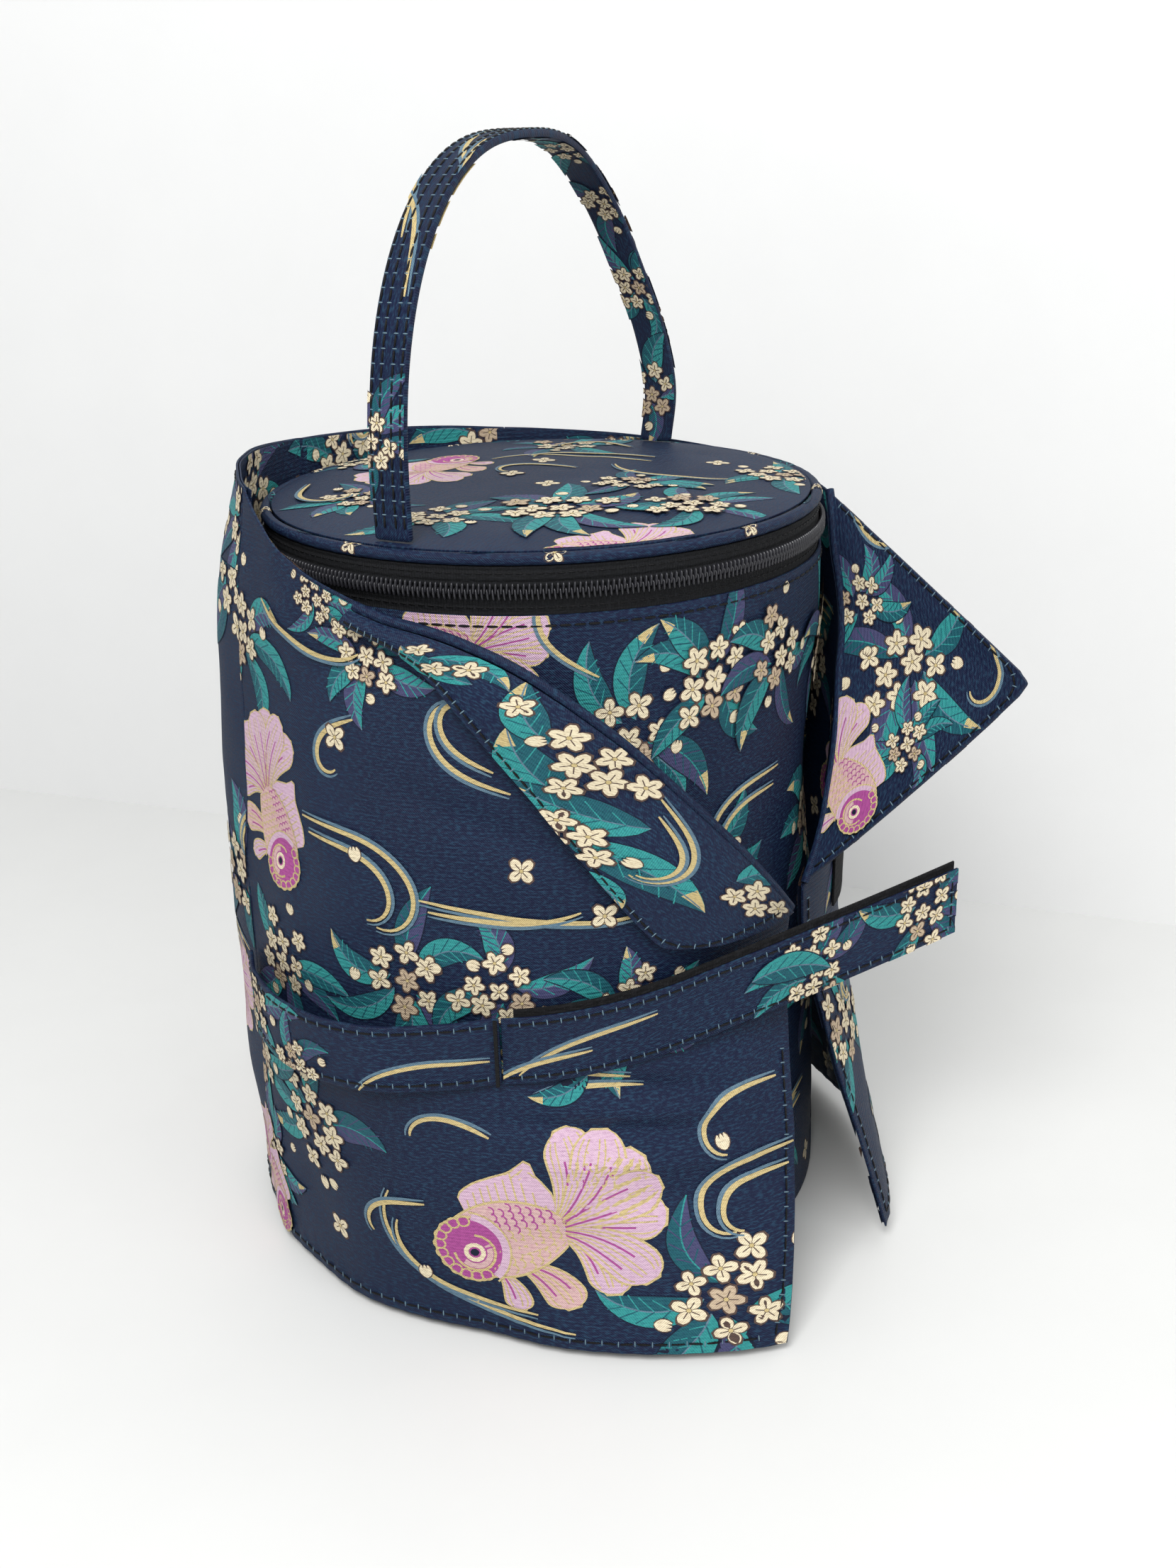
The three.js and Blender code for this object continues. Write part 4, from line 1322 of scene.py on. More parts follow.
# --- drum
@dataclass
class Drum:
    """The padded round body: outer cloth, turned-in edge, lining and base."""

    top_radius: float = 96.5
    base_radius: float = 97.6
    height: float = 247.0
    cloth_thickness: float = 0.8
    lining_gap: float = 4.0
    millimetres: float = 1.69
    hollows: Sequence[Dent] = (((25, 170), (20, 42), 0, -4.6), ((-14, 150), (22, 60), 8, -2.6),
                               ((-40, 218), (26, 7), 14, -1.3), ((4, 205), (9, 30), -12, -1.5))

    def radius(self, x: Array, y: Array) -> Array:
        """Radius of the outer cloth's middle, with its dents.

        Args:
            x: Flat places round the drum.
            y: Heights.

        Returns:
            One radius for each place.
        """
        share = np.clip(y / self.height, 0, 1)
        smooth = self.base_radius + (self.top_radius - self.base_radius) * share - self.cloth_thickness / 2
        free = np.clip((self.height - y) / 40, 0, 1) * np.clip(y / 30, 0, 1)
        folds = 0.5 * ripple(x, y, 4) - 0.4 + dents(x / self.millimetres, y, self.hollows)
        return smooth + free * np.minimum(folds, 0.2)

    def foam(self, x: Array, y: Array) -> Array:
        """Place of the padding's middle."""
        return polar(x / self.millimetres, self.radius(x, y) - self.lining_gap * 0.5 - 0.05, y)

    def outer(self, x: Array, y: Array) -> Array:
        """Place of the outer cloth's middle."""
        return polar(x / self.millimetres, self.radius(x, y), y)

    def inner(self, x: Array, y: Array) -> Array:
        """Place of the lining's middle."""
        return polar(-x / self.millimetres, self.radius(-x, y) - self.lining_gap, y)

    def build(self) -> None:
        """Builds the drum's cloth."""
        half = 180 * self.millimetres
        held, about = Held("drum"), (-half, half)
        wall = Cloth.oblong("drum_cloth", self.outer, about, (1.4, self.height), (220, 84), self.cloth_thickness,
                            held, weld=True)
        wall.build("drum_wall")
        foam = Cloth.oblong("drum_foam", self.foam, about, (4.4, 235.4), (160, 60), 2.4, held, "padding", BATTING,
                            0.0, weld=True)
        foam.build("drum_padding")
        figure = Figure(wall, 11)
        mm = self.millimetres
        for angle, height, turn, size in ((-45, 206, 60, 0.95), (-27, 220, 20, 0.95), (-9, 221, 80, 0.85),
                                          (14, 150, 10, 1.0), (-30, 158, 200, 0.9), (20, 214, 30, 0.9)):
            figure.cluster(angle * mm, height, turn, size)
        figure.put(Motifs.fish(54), -90 * mm, 228, 14)
        figure.taken.append((-74 * mm, 232, 34))
        figure.motifs((Motifs.scroll(44, -190), -50 * mm, 226, 150), (Motifs.scroll(60, 200), -6 * mm, 182, 184),
                      (Motifs.scroll(46, 190), -8 * mm, 176, 184), (Motifs.scroll(50, -180), -16 * mm, 128, 160))
        figure.scatter(76, 0.1)
        figure.build()
        Stitches(wall).build([[(-half, self.height - 3.2), (half, self.height - 3.2)]], ticks=False)
        Cloth.oblong("top_edge_facing", lambda x, y: polar(x / self.millimetres, 93.7, y), about, (236.9, 246.6),
                     (120, 2), 0.9, held, weld=True).build("top_facing")
        Cloth.oblong("drum_lining_cloth", self.inner, about, (4.8, 246.2), (160, 40), 0.6, held, "inner_lining",
                     LINING, weld=True).build("drum_lining")
        Cloth("base_cloth", lambda x, y: np.stack([x, y, 0.5 + 0 * x], axis=-1), disc(97.4), (), (120, 14), 0.9, held,
              weld=True).build("base_panel")
        sunk = lambda x, y: np.stack([x, y, 3.95 + 0.05 * ripple(x, y, 2)], axis=-1)
        Cloth("base_lining_cloth", sunk, disc(92.0), (), (120, 14), 0.5, held, "inner_lining", LINING,
              weld=True).build("base_lining")


# --- zip
@dataclass
class Zip:
    """The coil zip round the lid: tapes, teeth and the cloth hinge."""

    level: float = 254.5
    wall: float = 247.0
    tape_radius: float = 95.15
    coil_radius: float = 96.8
    pitch: float = 1.68
    gap: float = 14.0
    tooth: tuple[float, float, float] = (3.7, 0.82, 2.0)
    millimetres: float = 1.66

    @property
    def on_lid(self) -> Held:
        """How the upper tape and teeth are held between the drum and the lid at the hinge; they are baked in place,
        not bent.
        """
        return Held("drum", "lid", (0, 0.094, 0.258), (0, 0.068, 0.258))

    def tape(self, name: str, low: float, high: float, held: Held, node: str) -> None:
        """One zip tape.

        Args:
            name: The piece's name.
            low: Its lower edge.
            high: Its upper edge.
            held: How it moves.
            node: The CAD node that it stands for.
        """
        half = (180 - self.gap) * self.millimetres
        at = lambda x, y: polar(x / self.millimetres, self.tape_radius + 0.15 * np.sin(y * 1.9), y)
        cloth = Cloth.oblong(name, at, (-half, half), (low, high), (240, 14), 0.5, held, "zip_tape", TAPE, 0.0)
        cloth.build(node)
        edge = high - 2.2 if low > self.level else max(low, self.wall + 2.2)
        Stitches(cloth, 3.1, 2.5, 0.5).build([[(-half, edge), (half, edge)]], ticks=False)

    def teeth(self, name: str, way: int, held: Held, node: str) -> None:
        """One row of coil teeth.

        Args:
            name: The piece's name.
            way: 1 for the upper row, -1 for the lower one.
            held: How it moves.
            node: The CAD node that it stands for.
        """
        step = self.pitch / (self.coil_radius * math.pi / 180)
        first = -180 + self.gap + 0.4 + (step / 2 if way > 0 else 0)
        angle = np.arange(first, 180 - self.gap - 0.4, step)
        level = self.level + way * (self.tooth[0] / 2 - 0.95)
        centres = polar(angle, self.coil_radius, level)
        out = polar(angle, 1.0, 0.0)
        along = polar(angle + 90, 1.0, 0.0)
        up = np.broadcast_to((0.0, 0.0, 1.0), out.shape)
        long, thin, deep = self.tooth
        axes = np.stack([up * long + along * 0.25 * way, along * thin, out * deep], axis=1)
        piece = stamp(name, Template.bead(8, 6, 1.7), centres, axes, np.zeros(len(angle)),
                      [Finishes.hard(NYLON)], held)
        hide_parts(node)

    def build(self) -> None:
        """Builds the zip."""
        self.tape("zip_tape_below", 236.9, self.level - 0.3, Held("drum"), "zip_tape_lower")
        self.tape("zip_tape_above", self.level + 0.3, RIM - 0.2, self.on_lid, "zip_tape_upper")
        self.teeth("zip_teeth_below", -1, Held("drum"), "zip_teeth_lower")
        self.teeth("zip_teeth_above", 1, self.on_lid, "zip_teeth_upper")
        at = lambda x, y: polar(180 + x / self.millimetres, self.tape_radius + 0.25, y)
        half = (self.gap - 0.6) * self.millimetres
        cloth = Cloth("hinge_cloth", at, lambda u, v: (-half + 2 * half * u, 237 + (RIM - 237.2) * v),
                      [(-half, 237), (half, 237), (half, RIM), (-half, RIM)], (20, 24), 0.7,
                      Held("drum", "lid", (0, 0.095, 0.2535), (0, 0.095, 0.262)))
        cloth.build("lid_hinge_cloth")
        figure = Figure(cloth, 3)
        figure.scatter(60, 0.0)
        figure.build()
        for node in ("zip_slider", "zip_slider_back", "zip_pull", "pocket_slider", "pocket_pull"):
            finish_node(node, Finishes.hard(ENAMEL))


def finish_node(node: str, material: Material) -> None:
    """Gives a CAD node that stays in view its finish.

    Args:
        node: The node's name.
        material: The finish.
    """
    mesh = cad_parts[node].data
    mesh.materials.clear()
    mesh.materials.append(material)


# --- lid
@dataclass
class Lid:
    """The domed lid with its piped edge."""

    edge: float = 92.6
    rise: float = 2.4
    level: float = 266.0
    piping: float = 1.9
    piping_centre: float = 94.6

    def top(self, x: Array, y: Array) -> Array:
        """Place of the cover's middle.

        Args:
            x: Flat places across the lid.
            y: Flat places from front to back.

        Returns:
            One point for each place.
        """
        share = np.hypot(x, y) / self.edge
        free = np.clip((1 - share) * 5, 0, 1)
        level = self.level + self.rise * (1 - share ** 2) + free * 0.5 * ripple(x, y, 9) - 0.5 * share ** 12
        return np.stack(np.broadcast_arrays(x, y, level), axis=-1)

    def build(self) -> None:
        """Builds the lid."""
        held = Held("lid")
        ring = [(91.5 * math.cos(a), 91.5 * math.sin(a)) for a in np.linspace(0, math.tau, 49)[:-1]]
        spread = disc(self.edge)
        cover = Cloth("lid_cloth", self.top, spread, ring, (160, 40), 0.8, held, edge=0.2, weld=True)
        cover.build("lid_cover")
        figure = Figure(cover, 5)
        figure.motifs((Motifs.fish(54), 29, 50, 188, True), (Motifs.fish(52), -88, -50, -42))
        figure.clusters((-60, 4, 80, 0.85), (-36, -28, 110, 0.95), (-16, -66, 120, 0.8), (-46, 44, 60, 0.7),
                        (6, -34, 100, 0.7), (66, 26, 30, 0.85), (44, -72, 60, 0.8), (12, 84, 10, 0.7))
        for x, y, turn, long, curl in ((46, -22, 92, 62, 60), (52, -20, 90, 50, 80), (28, -60, 104, 50, -70),
                                       (20, -4, 80, 40, 190), (-30, 76, 200, 46, 190), (70, 0, 60, 40, 170)):
            figure.put(Motifs.scroll(long, curl), x, y, turn)
        for x, y in ((53, -43), (4, 14), (30, 16), (-6, -6)):
            figure.put(Motifs.flower(4.2, 4), x, y, 20)
        figure.build()
        padding = lambda x, y: self.top(x, y) - (0, 0, 2.3)
        foam = Cloth("lid_foam", padding, lambda u, v: tuple(c * 0.97 for c in spread(u, v)), ring, (120, 24), 2.8,
                     held, "padding", BATTING, 0.0, weld=True)
        foam.build("lid_padding")
        around, over = math.tau * self.piping_centre, math.tau * self.piping
        # Only the side of the piping that shows is figured
        piping = Cloth("lid_piping_cloth", self._tube, lambda u, v: (around * u, over * v),
                       [(0, 2.2), (around, 2.2), (around, 9.2), (0, 9.2)], (240, 12), 0.3, held, edge=0.0, weld=True)
        piping.build("lid_piping")
        figure = Figure(piping, 21)
        for k in range(9):
            figure.put(Motifs.leaf(24, 6, 2), around * k / 9 + 8, 6, 8)
            figure.put(Motifs.flower(3.6), around * (k + 0.55) / 9, 5.4, 10)
        figure.build()
        under = lambda x, y: np.stack(np.broadcast_arrays(-x, y, 261.25), axis=-1)
        lining = Cloth("lid_lining_cloth", under, spread, ring, (120, 12), 0.5, held, "inner_lining", LINING,
                       weld=True)
        lining.build("lid_lining")

    def _tube(self, x: Array, y: Array) -> Array:
        """Place on the piping.

        Args:
            x: Distances round the lid.
            y: Distances round the tube.

        Returns:
            One point for each place.
        """
        turn = x / self.piping_centre
        over = y / self.piping - math.pi / 2
        radius = self.piping - 0.15 + 0.1 * np.sin(turn * 70) * np.clip(np.cos(over), 0, 1)
        out = self.piping_centre + radius * np.cos(over)
        return np.stack([out * np.sin(turn), -out * np.cos(turn), RIM + self.piping + radius * np.sin(over)],
                        axis=-1)


# --- handle
@dataclass
class Handle:
    """The arched strap, folded and topstitched in rows."""

    reach: float = 90.0
    rise: float = 118.5
    width: float = 13.0
    thickness: float = 2.8
    roundness: float = 2.6
    foot: float = 266.9
    lean: Pairs = ((0, 0), (0.12, 0.8), (0.3, 0.6), (0.42, 2.2), (0.52, 5), (0.63, 9.2), (0.7, 10), (0.79, 6.6),
                   (0.88, 0), (0.94, -2.6), (1, 0))

    def path(self, count: int = 400) -> tuple[Array, Array, Array]:
        """The arch's centre line by length along it.

        Args:
            count: Number of points.

        Returns:
            Lengths, x and z.
        """
        power = 2 / self.roundness
        low = math.asin(((self.foot - RIM) / self.rise) ** (1 / power))
        t = np.linspace(low, math.pi - low, count)
        x = -np.sign(np.cos(t)) * np.abs(np.cos(t)) ** power * self.reach
        z = RIM + np.sin(t) ** power * self.rise
        return lengths(np.stack([x, z], -1)), x, z

    def at(self, x: Array, y: Array) -> Array:
        """Place of the strap's middle.

        Args:
            x: Distances along the strap.
            y: Distances across it.

        Returns:
            One point for each place.
        """
        run, px, pz = self.path()
        along = np.clip(x, run[0], run[-1])
        beyond = x - along
        place_x, place_z = np.interp(along, run, px), np.interp(along, run, pz) + np.where(x < 1, beyond, -beyond)
        return np.stack([place_x, y + curve(self.lean, along / run[-1]), place_z], axis=-1)

    def build(self) -> None:
        """Builds the strap, its sewn ends and its rows of stitching."""
        length = float(self.path()[0][-1])
        half = self.width / 2
        # The sewn feet stay on the lid; the hold's points mark the strap's first few millimetres, but the strap is
        # baked in place, not bent
        held = Held("lid", "handle", (0, 0, 0.2675), (0, 0, 0.2795))
        strap = Cloth.oblong("handle_cloth", self.at, (0, length), (-half, half), (200, 8), self.thickness, held,
                             edge=1.1)
        strap.build("handle_strap")
        figure = Figure(strap, 17)
        figure.clusters((30, 5, 90, 0.62), (206, 4, 70, 0.7), (246, -3, 80, 0.7), (292, 3, 60, 0.8))
        for x, y, turn, long in ((88, 3, 8, 50), (70, -3, 4, 44), (160, 4, 186, 56), (140, -4, 184, 40)):
            figure.put(Motifs.scroll(long, 70), x, y, turn)
        figure.build()
        back = Figure(strap, 18)
        back.put(Motifs.fish(56), 76, 4, 4)
        for x, size in ((168, 0.55), (204, 0.6), (240, 0.6), (276, 0.6), (316, 0.7)):
            back.cluster(x, 3 * math.sin(x * 0.7), 80, size)
        back.cloth = replace(strap, name="handle_inner")
        back.build(-1)
        rows = [[(4, y), (length - 4, y)] for y in (-half + 1.3, -2.0, 2.0, half - 1.3)]
        Stitches(strap, tick=1.7).build(rows)
        for side, node in ((-1, "handle_end_left"), (1, "handle_end_right")):
            at = lambda x, y, s=side: np.stack(np.broadcast_arrays(s * self.reach, -s * x, y), axis=-1)
            Cloth.oblong(node + "_cloth", at, (-half, half), (263.1, 266.4), (6, 2), self.thickness, Held("lid"),
                         edge=0.5).build(node)


# --- wrap
@dataclass(frozen=True)
class WrapShape:
    """Radius of the wrap's outer cloth by angle, at the lid, at the belt and at the hem."""

    lid: Pairs
    belt: Pairs
    hem: Pairs

    def radius(self, angle: Array, height: Array) -> Array:
        """Radius of the cloth's middle.

        Args:
            angle: Degrees from the front opening.
            height: Height over the floor.

        Returns:
            One radius for each place.
        """
        top, mid, low = curve(self.lid, angle), curve(self.belt, angle), curve(self.hem, angle)
        down = np.clip((RIM - height) / (RIM - BELT), 0, 1)
        above = top + (mid - top) * np.sin(down * np.pi / 2)
        below = mid + (low - mid) * (BELT - height) / (BELT - HEM)
        return np.where(height >= BELT, above, below)


LEFT = WrapShape(((-180, 103.2), (-128, 103.6), (-60, 104.6), (-12, 106)),
                 ((-180, 106), (-150, 110), (-128, 112), (-100, 111), (-80, 108), (-60, 106.2), (-12, 106)),
                 ((-180, 110), (-150, 115), (-128, 116), (-104, 116), (-86, 117.5), (-71, 121), (-52, 131),
                  (-31, 146)))
RIGHT = WrapShape(((-12, 103.4), (128, 103.2), (180, 103.2)),
                  ((-12, 103.4), (10, 105), (60, 107), (128, 107), (180, 106)),
                  ((-8, 140), (20, 124), (45, 115), (90, 112), (128, 111), (180, 110)))
DEGREE = 1.885  # flat millimetres for one degree round the wrap


@dataclass
class Wrap:
    """The coat-like wrap: back, collar, two panels and their linings."""

    hem_row: float = 7.4
    inset: float = 3.4
    cloth: float = 0.8
    lining: float = 0.6
    spread: float = 127.98
    crease_left: tuple[Pair, Pair] = ((-93.5, 251.4), (-11.5, 135.0))
    crease_right: tuple[Pair, Pair] = ((-5.5, 137.0), (38.0, 258.0))
    hem_left: float = -31.0
    hem_right: float = -2.3
    shoulder_left: Pairs = ((-128, 277), (-121, 270), (-111, 261), (-93.5, 251.4))
    crease_bow: Pairs = ((0, 0), (0.07, 5), (0.17, 14), (0.26, 20), (0.36, 24), (0.47, 24), (0.58, 21.5), (0.7, 16),
                         (0.85, 8.5), (1, 0))
    full_side: Pairs = ((0, 0.2), (60, 0.7), (110, 1), (215, 1), (250, 0.75), (277, 0))
    shoulder_right: Pairs = ((38, 258), (69, 262.5), (97, 266), (128, 270))
    collar: Pairs = ((128, 270), (150, 273.5), (180, 277), (205, 279.5), (232, 277))
    creases: Sequence[Dent] = (
        ((-47, 92), (13, 3.6), -22, -2.4), ((-47, 82), (13, 6), -22, 1.6), ((-66, 78), (10, 8), 14, 1.2),
        ((-40, 66), (9, 9), 30, -1.0), ((-122, 196), (9, 26), 12, -1.6), ((-116, 150), (12, 10), -24, 1.3),
        ((-114, 238), (5, 22), -30, 1.5), ((-103, 226), (4, 20), -34, -1.3), ((-62, 40), (16, 6), 24, -1.1),
        ((-96, 30), (8, 20), 16, 1.0), ((-52, 79), (17, 3.6), -9, -2.8), ((-48, 67), (17, 4), -4, 2.0),
        ((-42, 55), (14, 4.5), 8, -1.6), ((-72, 182), (18, 6), -40, -1.6))

    def left_fold(self, angle: Array) -> Array:
        """Height of the left panel's fold, which bows up between its ends.

        Args:
            angle: Degrees from the front opening.

        Returns:
            One height for each angle.
        """
        (a0, h0), (a1, h1) = self.crease_left
        share = (angle - a0) / (a1 - a0)
        return h0 + (h1 - h0) * share + curve(self.crease_bow, share)

    def uneven(self, x: Array, y: Array) -> Array:
        """Unevenness that every layer of the wrap shares, calm at the seams with the back.

        Args:
            x: Flat places along the cloth.
            y: Heights.

        Returns:
            How far each place stands out.
        """
        low = np.clip((60 - y) / 60, 0, 1)
        wave = 0.55 * ripple(x, y, 31) + 0.8 * low * np.sin(x / 9.5 + 1.2) * np.clip((y + 20) / 60, 0, 1)
        angle = x / DEGREE
        pucker = 0.22 * np.sin(x * 0.86) * np.exp(-((y - self.hem_row) / 5) ** 2)
        full = 8 * np.exp(-((angle + 144) / 17) ** 2) * curve(self.full_side, y)
        return wave * 1.35 + dents(angle, y, self.creases) + pucker + full

    def over(self, side: WrapShape, x: Array, y: Array, out: Array | float = 0.0) -> Array:
        """Place at a distance over one side's outer cloth."""
        return polar(x / DEGREE, side.radius(x / DEGREE, y) + self.uneven(x, y) + out, y)

    def left_at(self, x: Array, y: Array) -> Array:
        """Place of the left panel's outer cloth."""
        return self.over(LEFT, x, y)

    def right_at(self, x: Array, y: Array) -> Array:
        """Place of the right panel's outer cloth."""
        return self.over(RIGHT, x, y)

    def back_at(self, x: Array, y: Array) -> Array:
        """Place of the back's outer cloth, from 128 to 232 degrees.

        Args:
            x: Flat places along the cloth.
            y: Heights.

        Returns:
            One point for each place.
        """
        angle = x / DEGREE
        turn = np.where(angle > 180, angle - 360, angle)
        radius = np.where(turn < 0, LEFT.radius(turn, y), RIGHT.radius(turn, y))
        return polar(angle, radius + self.uneven(turn * DEGREE, y), y)

    def front(self, top: Pair, foot: float, height: Array) -> Array:
        """Angle of a panel's front edge, straight from its crease's end to an angle at the hem."""
        share = np.clip((top[1] - height) / (top[1] - HEM), 0, 1)
        return top[0] + (foot - top[0]) * share

    def left_front(self, height: Array) -> Array:
        """Angle of the left panel's front edge."""
        return self.front(self.crease_left[1], self.hem_left, height)

    def right_front(self, height: Array) -> Array:
        """Angle of the right panel's front edge."""
        return self.front(self.crease_right[0], self.hem_right, height)

    def left_cut(self, u: Array, v: Array) -> Flat:
        """Flat cut of the left panel.

        Args:
            u: Share of the way round, from 0 to 1.
            v: Share of the way up.

        Returns:
            Flat places along and up the cloth.
        """
        (a0, _), (a1, _) = self.crease_left
        angle = -self.spread + (a1 + self.spread) * u
        top = np.where(angle <= a0, curve(self.shoulder_left, angle), self.left_fold(angle))
        height = HEM + (top - HEM) * v
        return (-self.spread + (self.left_front(height) + self.spread) * u) * DEGREE, height

    def right_cut(self, u: Array, v: Array) -> Flat:
        """Flat cut of the right panel.

        Args:
            u: Share of the way round, from 0 to 1.
            v: Share of the way up.

        Returns:
            Flat places along and up the cloth.
        """
        (a0, h0), (a1, h1) = self.crease_right
        angle = a0 + (self.spread - a0) * u
        top = np.where(angle >= a1, curve(self.shoulder_right, angle), h0 + (h1 - h0) * (angle - a0) / (a1 - a0))
        height = HEM + 2 + (top - HEM - 2) * v
        front = self.right_front(height)
        return (front + (self.spread - front) * u) * DEGREE, height

    @property
    def left_held(self) -> Held:
        """The left side's hold between the back and the panel, over the first part of the panel; pieces held so are
        baked in place, not bent.
        """
        return Held("drum", "wrap_left", metres(polar(-129, 109, 130)), metres(polar(-104, 112, 130)))

    @property
    def right_held(self) -> Held:
        """The right side's hold between the back and the panel, over the last part of the panel; pieces held so are
        baked in place, not bent.
        """
        return Held("drum", "wrap_right", metres(polar(129, 107, 130)), metres(polar(104, 107, 130)))

    def inside(self, cloth: Cloth) -> Cloth:
        """The lining that lies behind a piece of outer cloth.

        Args:
            cloth: The outer cloth.

        Returns:
            The lining, with its flat places mirrored so that it faces inwards.
        """
        lift = -(self.cloth + self.lining) / 2 - 0.25
        at = lambda x, y: cloth.lifted(-x, y, lift)[0]

        def cut(u: Array, v: Array) -> Flat:
            """Flat cut of the lining, a little inside the outer cloth's edges."""
            x, y = cloth.cut(0.004 + 0.992 * (1 - u), 0.006 + 0.988 * v)
            return -x, y

        outline = [(-x, y) for x, y in reversed(cloth.outline)]
        return Cloth(cloth.name + "_lining", at, cut, outline, cloth.steps, self.lining, cloth.held,
                     "facing_brocade", NAVY)

    def build(self) -> None:
        """Builds the back, the collar and both panels."""
        s, start, span, seam = self.spread, 128.02, 103.96, 249.8
        fold_top, fold_end = self.crease_left
        flat = lambda *places: [(angle * DEGREE, height) for angle, height in places]
        left = Cloth("left_panel_cloth", self.left_at, self.left_cut,
                     flat((-s, 4.4), (self.hem_left, 4.4), fold_end, (-40, 192.5), (-58, 223),
                          (fold_top[0], fold_top[1] - 0.6), (-111, 260.2), (-s, 270)), (120, 130), self.cloth,
                     self.left_held)
        right = Cloth("right_panel_cloth", self.right_at, self.right_cut,
                      flat((self.hem_right, 6.4), (s, 6.4), (s, 269), *reversed(self.crease_right)), (120, 110),
                      self.cloth, self.right_held)
        back = Cloth("back_cloth", self.back_at,
                     lambda u, v: ((start + span * u) * DEGREE, HEM + (seam - HEM) * v),
                     flat((128.2, 4.4), (231.8, 4.4), (231.8, 249.6), (128.2, 249.6)), (90, 100), self.cloth,
                     Held("drum"))

        def collar_cut(u: Array, v: Array) -> Flat:
            """Flat cut of the collar."""
            low = seam + 0.1
            return (start + span * u) * DEGREE, low + (curve(self.collar, start + span * u) - low) * v

        collar = Cloth("collar_cloth", self.back_at, collar_cut,
                       flat((128.2, 250), (231.8, 250), (231.8, 276.6), (205, 279), (180, 276.6), (128.2, 269.6)),
                       (90, 12), self.cloth, Held("drum", "lid", (0, 0.088, 0.258), (0, 0.112, 0.282)))
        for cloth, seed, outer, inner in ((left, 41, "left_panel", ["left_panel_lining"]),
                                          (right, 42, "right_panel", ["right_panel_lining"]),
                                          (back, 43, "wrap_back", ["wrap_back_lining"]),
                                          (collar, 44, "back_collar", [])):
            piece = cloth.build(outer)
            figure = Figure(cloth, seed)
            self.weave(figure, cloth.name)
            woven = figure.build()
            under = self.inside(cloth)
            under.build(*inner)
            figure = Figure(under, seed + 10)
            figure.scatter(70, 0.08)
            figure.build()
        self.edges(left, right, collar)
        hem = np.linspace(128.6, 231.4, 50) * DEGREE
        Stitches(back).build([[(x, self.hem_row) for x in hem]])
        for name, at, angle, high in (("left", self.left_at, -128, 276.6), ("right", self.right_at, 128, 269.6)):
            Cloth.oblong(f"{name}_seam_binding", at, ((angle - 1.8) * DEGREE, (angle + 1.8) * DEGREE), (4.6, high),
                         (4, 80), 0.3, Held("drum"), edge=0.0).build(lift=-1.55)

    def weave(self, figure: Figure, name: str) -> None:
        """Lays the figure out on one piece of the wrap.

        Args:
            figure: The figure.
            name: The cloth's name.
        """
        if name != "left_panel_cloth":
            figure.scatter(70 if name != "collar_cloth" else 52, 0.09 if name == "back_cloth" else 0.16)
            return
        for angle, height, turn, size in (
                (-126, 231, 90, 0.9), (-101, 250, 150, 0.5), (-91, 235, 110, 0.7), (-116, 118, 70, 0.9),
                (-87, 127, 20, 0.95), (-70, 127, 160, 0.85), (-48, 116, 30, 0.8), (-106, 68, 280, 0.95),
                (-126, 74, 90, 0.9), (-38, 20, 30, 1.0), (-124, 36, 30, 0.7)):
            figure.cluster(angle * DEGREE, height, turn, size)
        figure.motifs((Motifs.fish(72), -80.5 * DEGREE, 31, 20), (Motifs.fish(58), -112.5 * DEGREE, 150, 117, True),
                      (Motifs.fish(50), -121 * DEGREE, 6, 130, True))
        for angle, height, turn, long, curl in (
                (-66, 193, 162, 52, -205), (-69, 200, 156, 36, -190), (-108, 178, -4, 72, -190),
                (-106, 173, -6, 52, -175), (-85, 157, -10, 76, 22), (-83, 153, -8, 50, 30), (-118, 246, -30, 50, 60),
                (-58, 8.5, 172, 84, -105), (-64, 14, 176, 60, -100), (-83, 50, 186, 30, 125), (-22, 84, 176, 44, 172),
                (-22, 63, 178, 52, 186), (-24, 57, 178, 36, 170), (-72, 76, 150, 30, 120), (-48, 96, 170, 50, 30),
                (-46, 92, 172, 36, 40), (-94, 214, 200, 34, 200)):
            figure.put(Motifs.scroll(long, curl, 1.7), angle * DEGREE, height, turn)
        for angle, height in ((-98.7, 206.6), (-65.7, 168), (-102, 27.6), (-52, 152)):
            figure.put(Motifs.flower(4.6, 4), angle * DEGREE, height, 40)
        for angle, height in ((-94.7, 167), (-104.4, 41), (-34.8, 67.7), (-84, 20)):
            figure.put(Motifs.bud(5.0), angle * DEGREE, height, 100)
        figure.put(Motifs.leaf(20, 7, 3, tip=True), -56 * DEGREE, 98, 200)

    def edges(self, left: Cloth, right: Cloth, collar: Cloth) -> None:
        """Topstitches the panels' edges.

        Args:
            left: The left panel.
            right: The right panel.
            collar: The collar.
        """
        s, row = self.spread * DEGREE, self.hem_row
        hem = [(x, row) for x in np.linspace(-s, (self.hem_left - 1) * DEGREE, 40)]
        front = [(self.left_front(h) * DEGREE - self.inset, h) for h in np.linspace(row, 92, 20)]
        (a0, _), (a1, _) = self.crease_left
        fold = [(a * DEGREE, self.left_fold(a) - 1.4) for a in np.linspace(a0, a1, 40)]
        Stitches(left).build([hem, front])
        Stitches(left).build([fold], ticks=False, name="left_fold_stitching")
        front = [(self.right_front(h) * DEGREE + self.inset, h) for h in np.linspace(row + 2, 134, 24)]
        Stitches(right).build([[(x, row + 2) for x in np.linspace(self.hem_right * DEGREE + 3, s, 60)], front])
        rim = [(a * DEGREE, curve(self.collar, a) - 3.2) for a in np.linspace(128.4, 231.6, 60)]
        Stitches(collar).build([rim], ticks=False)


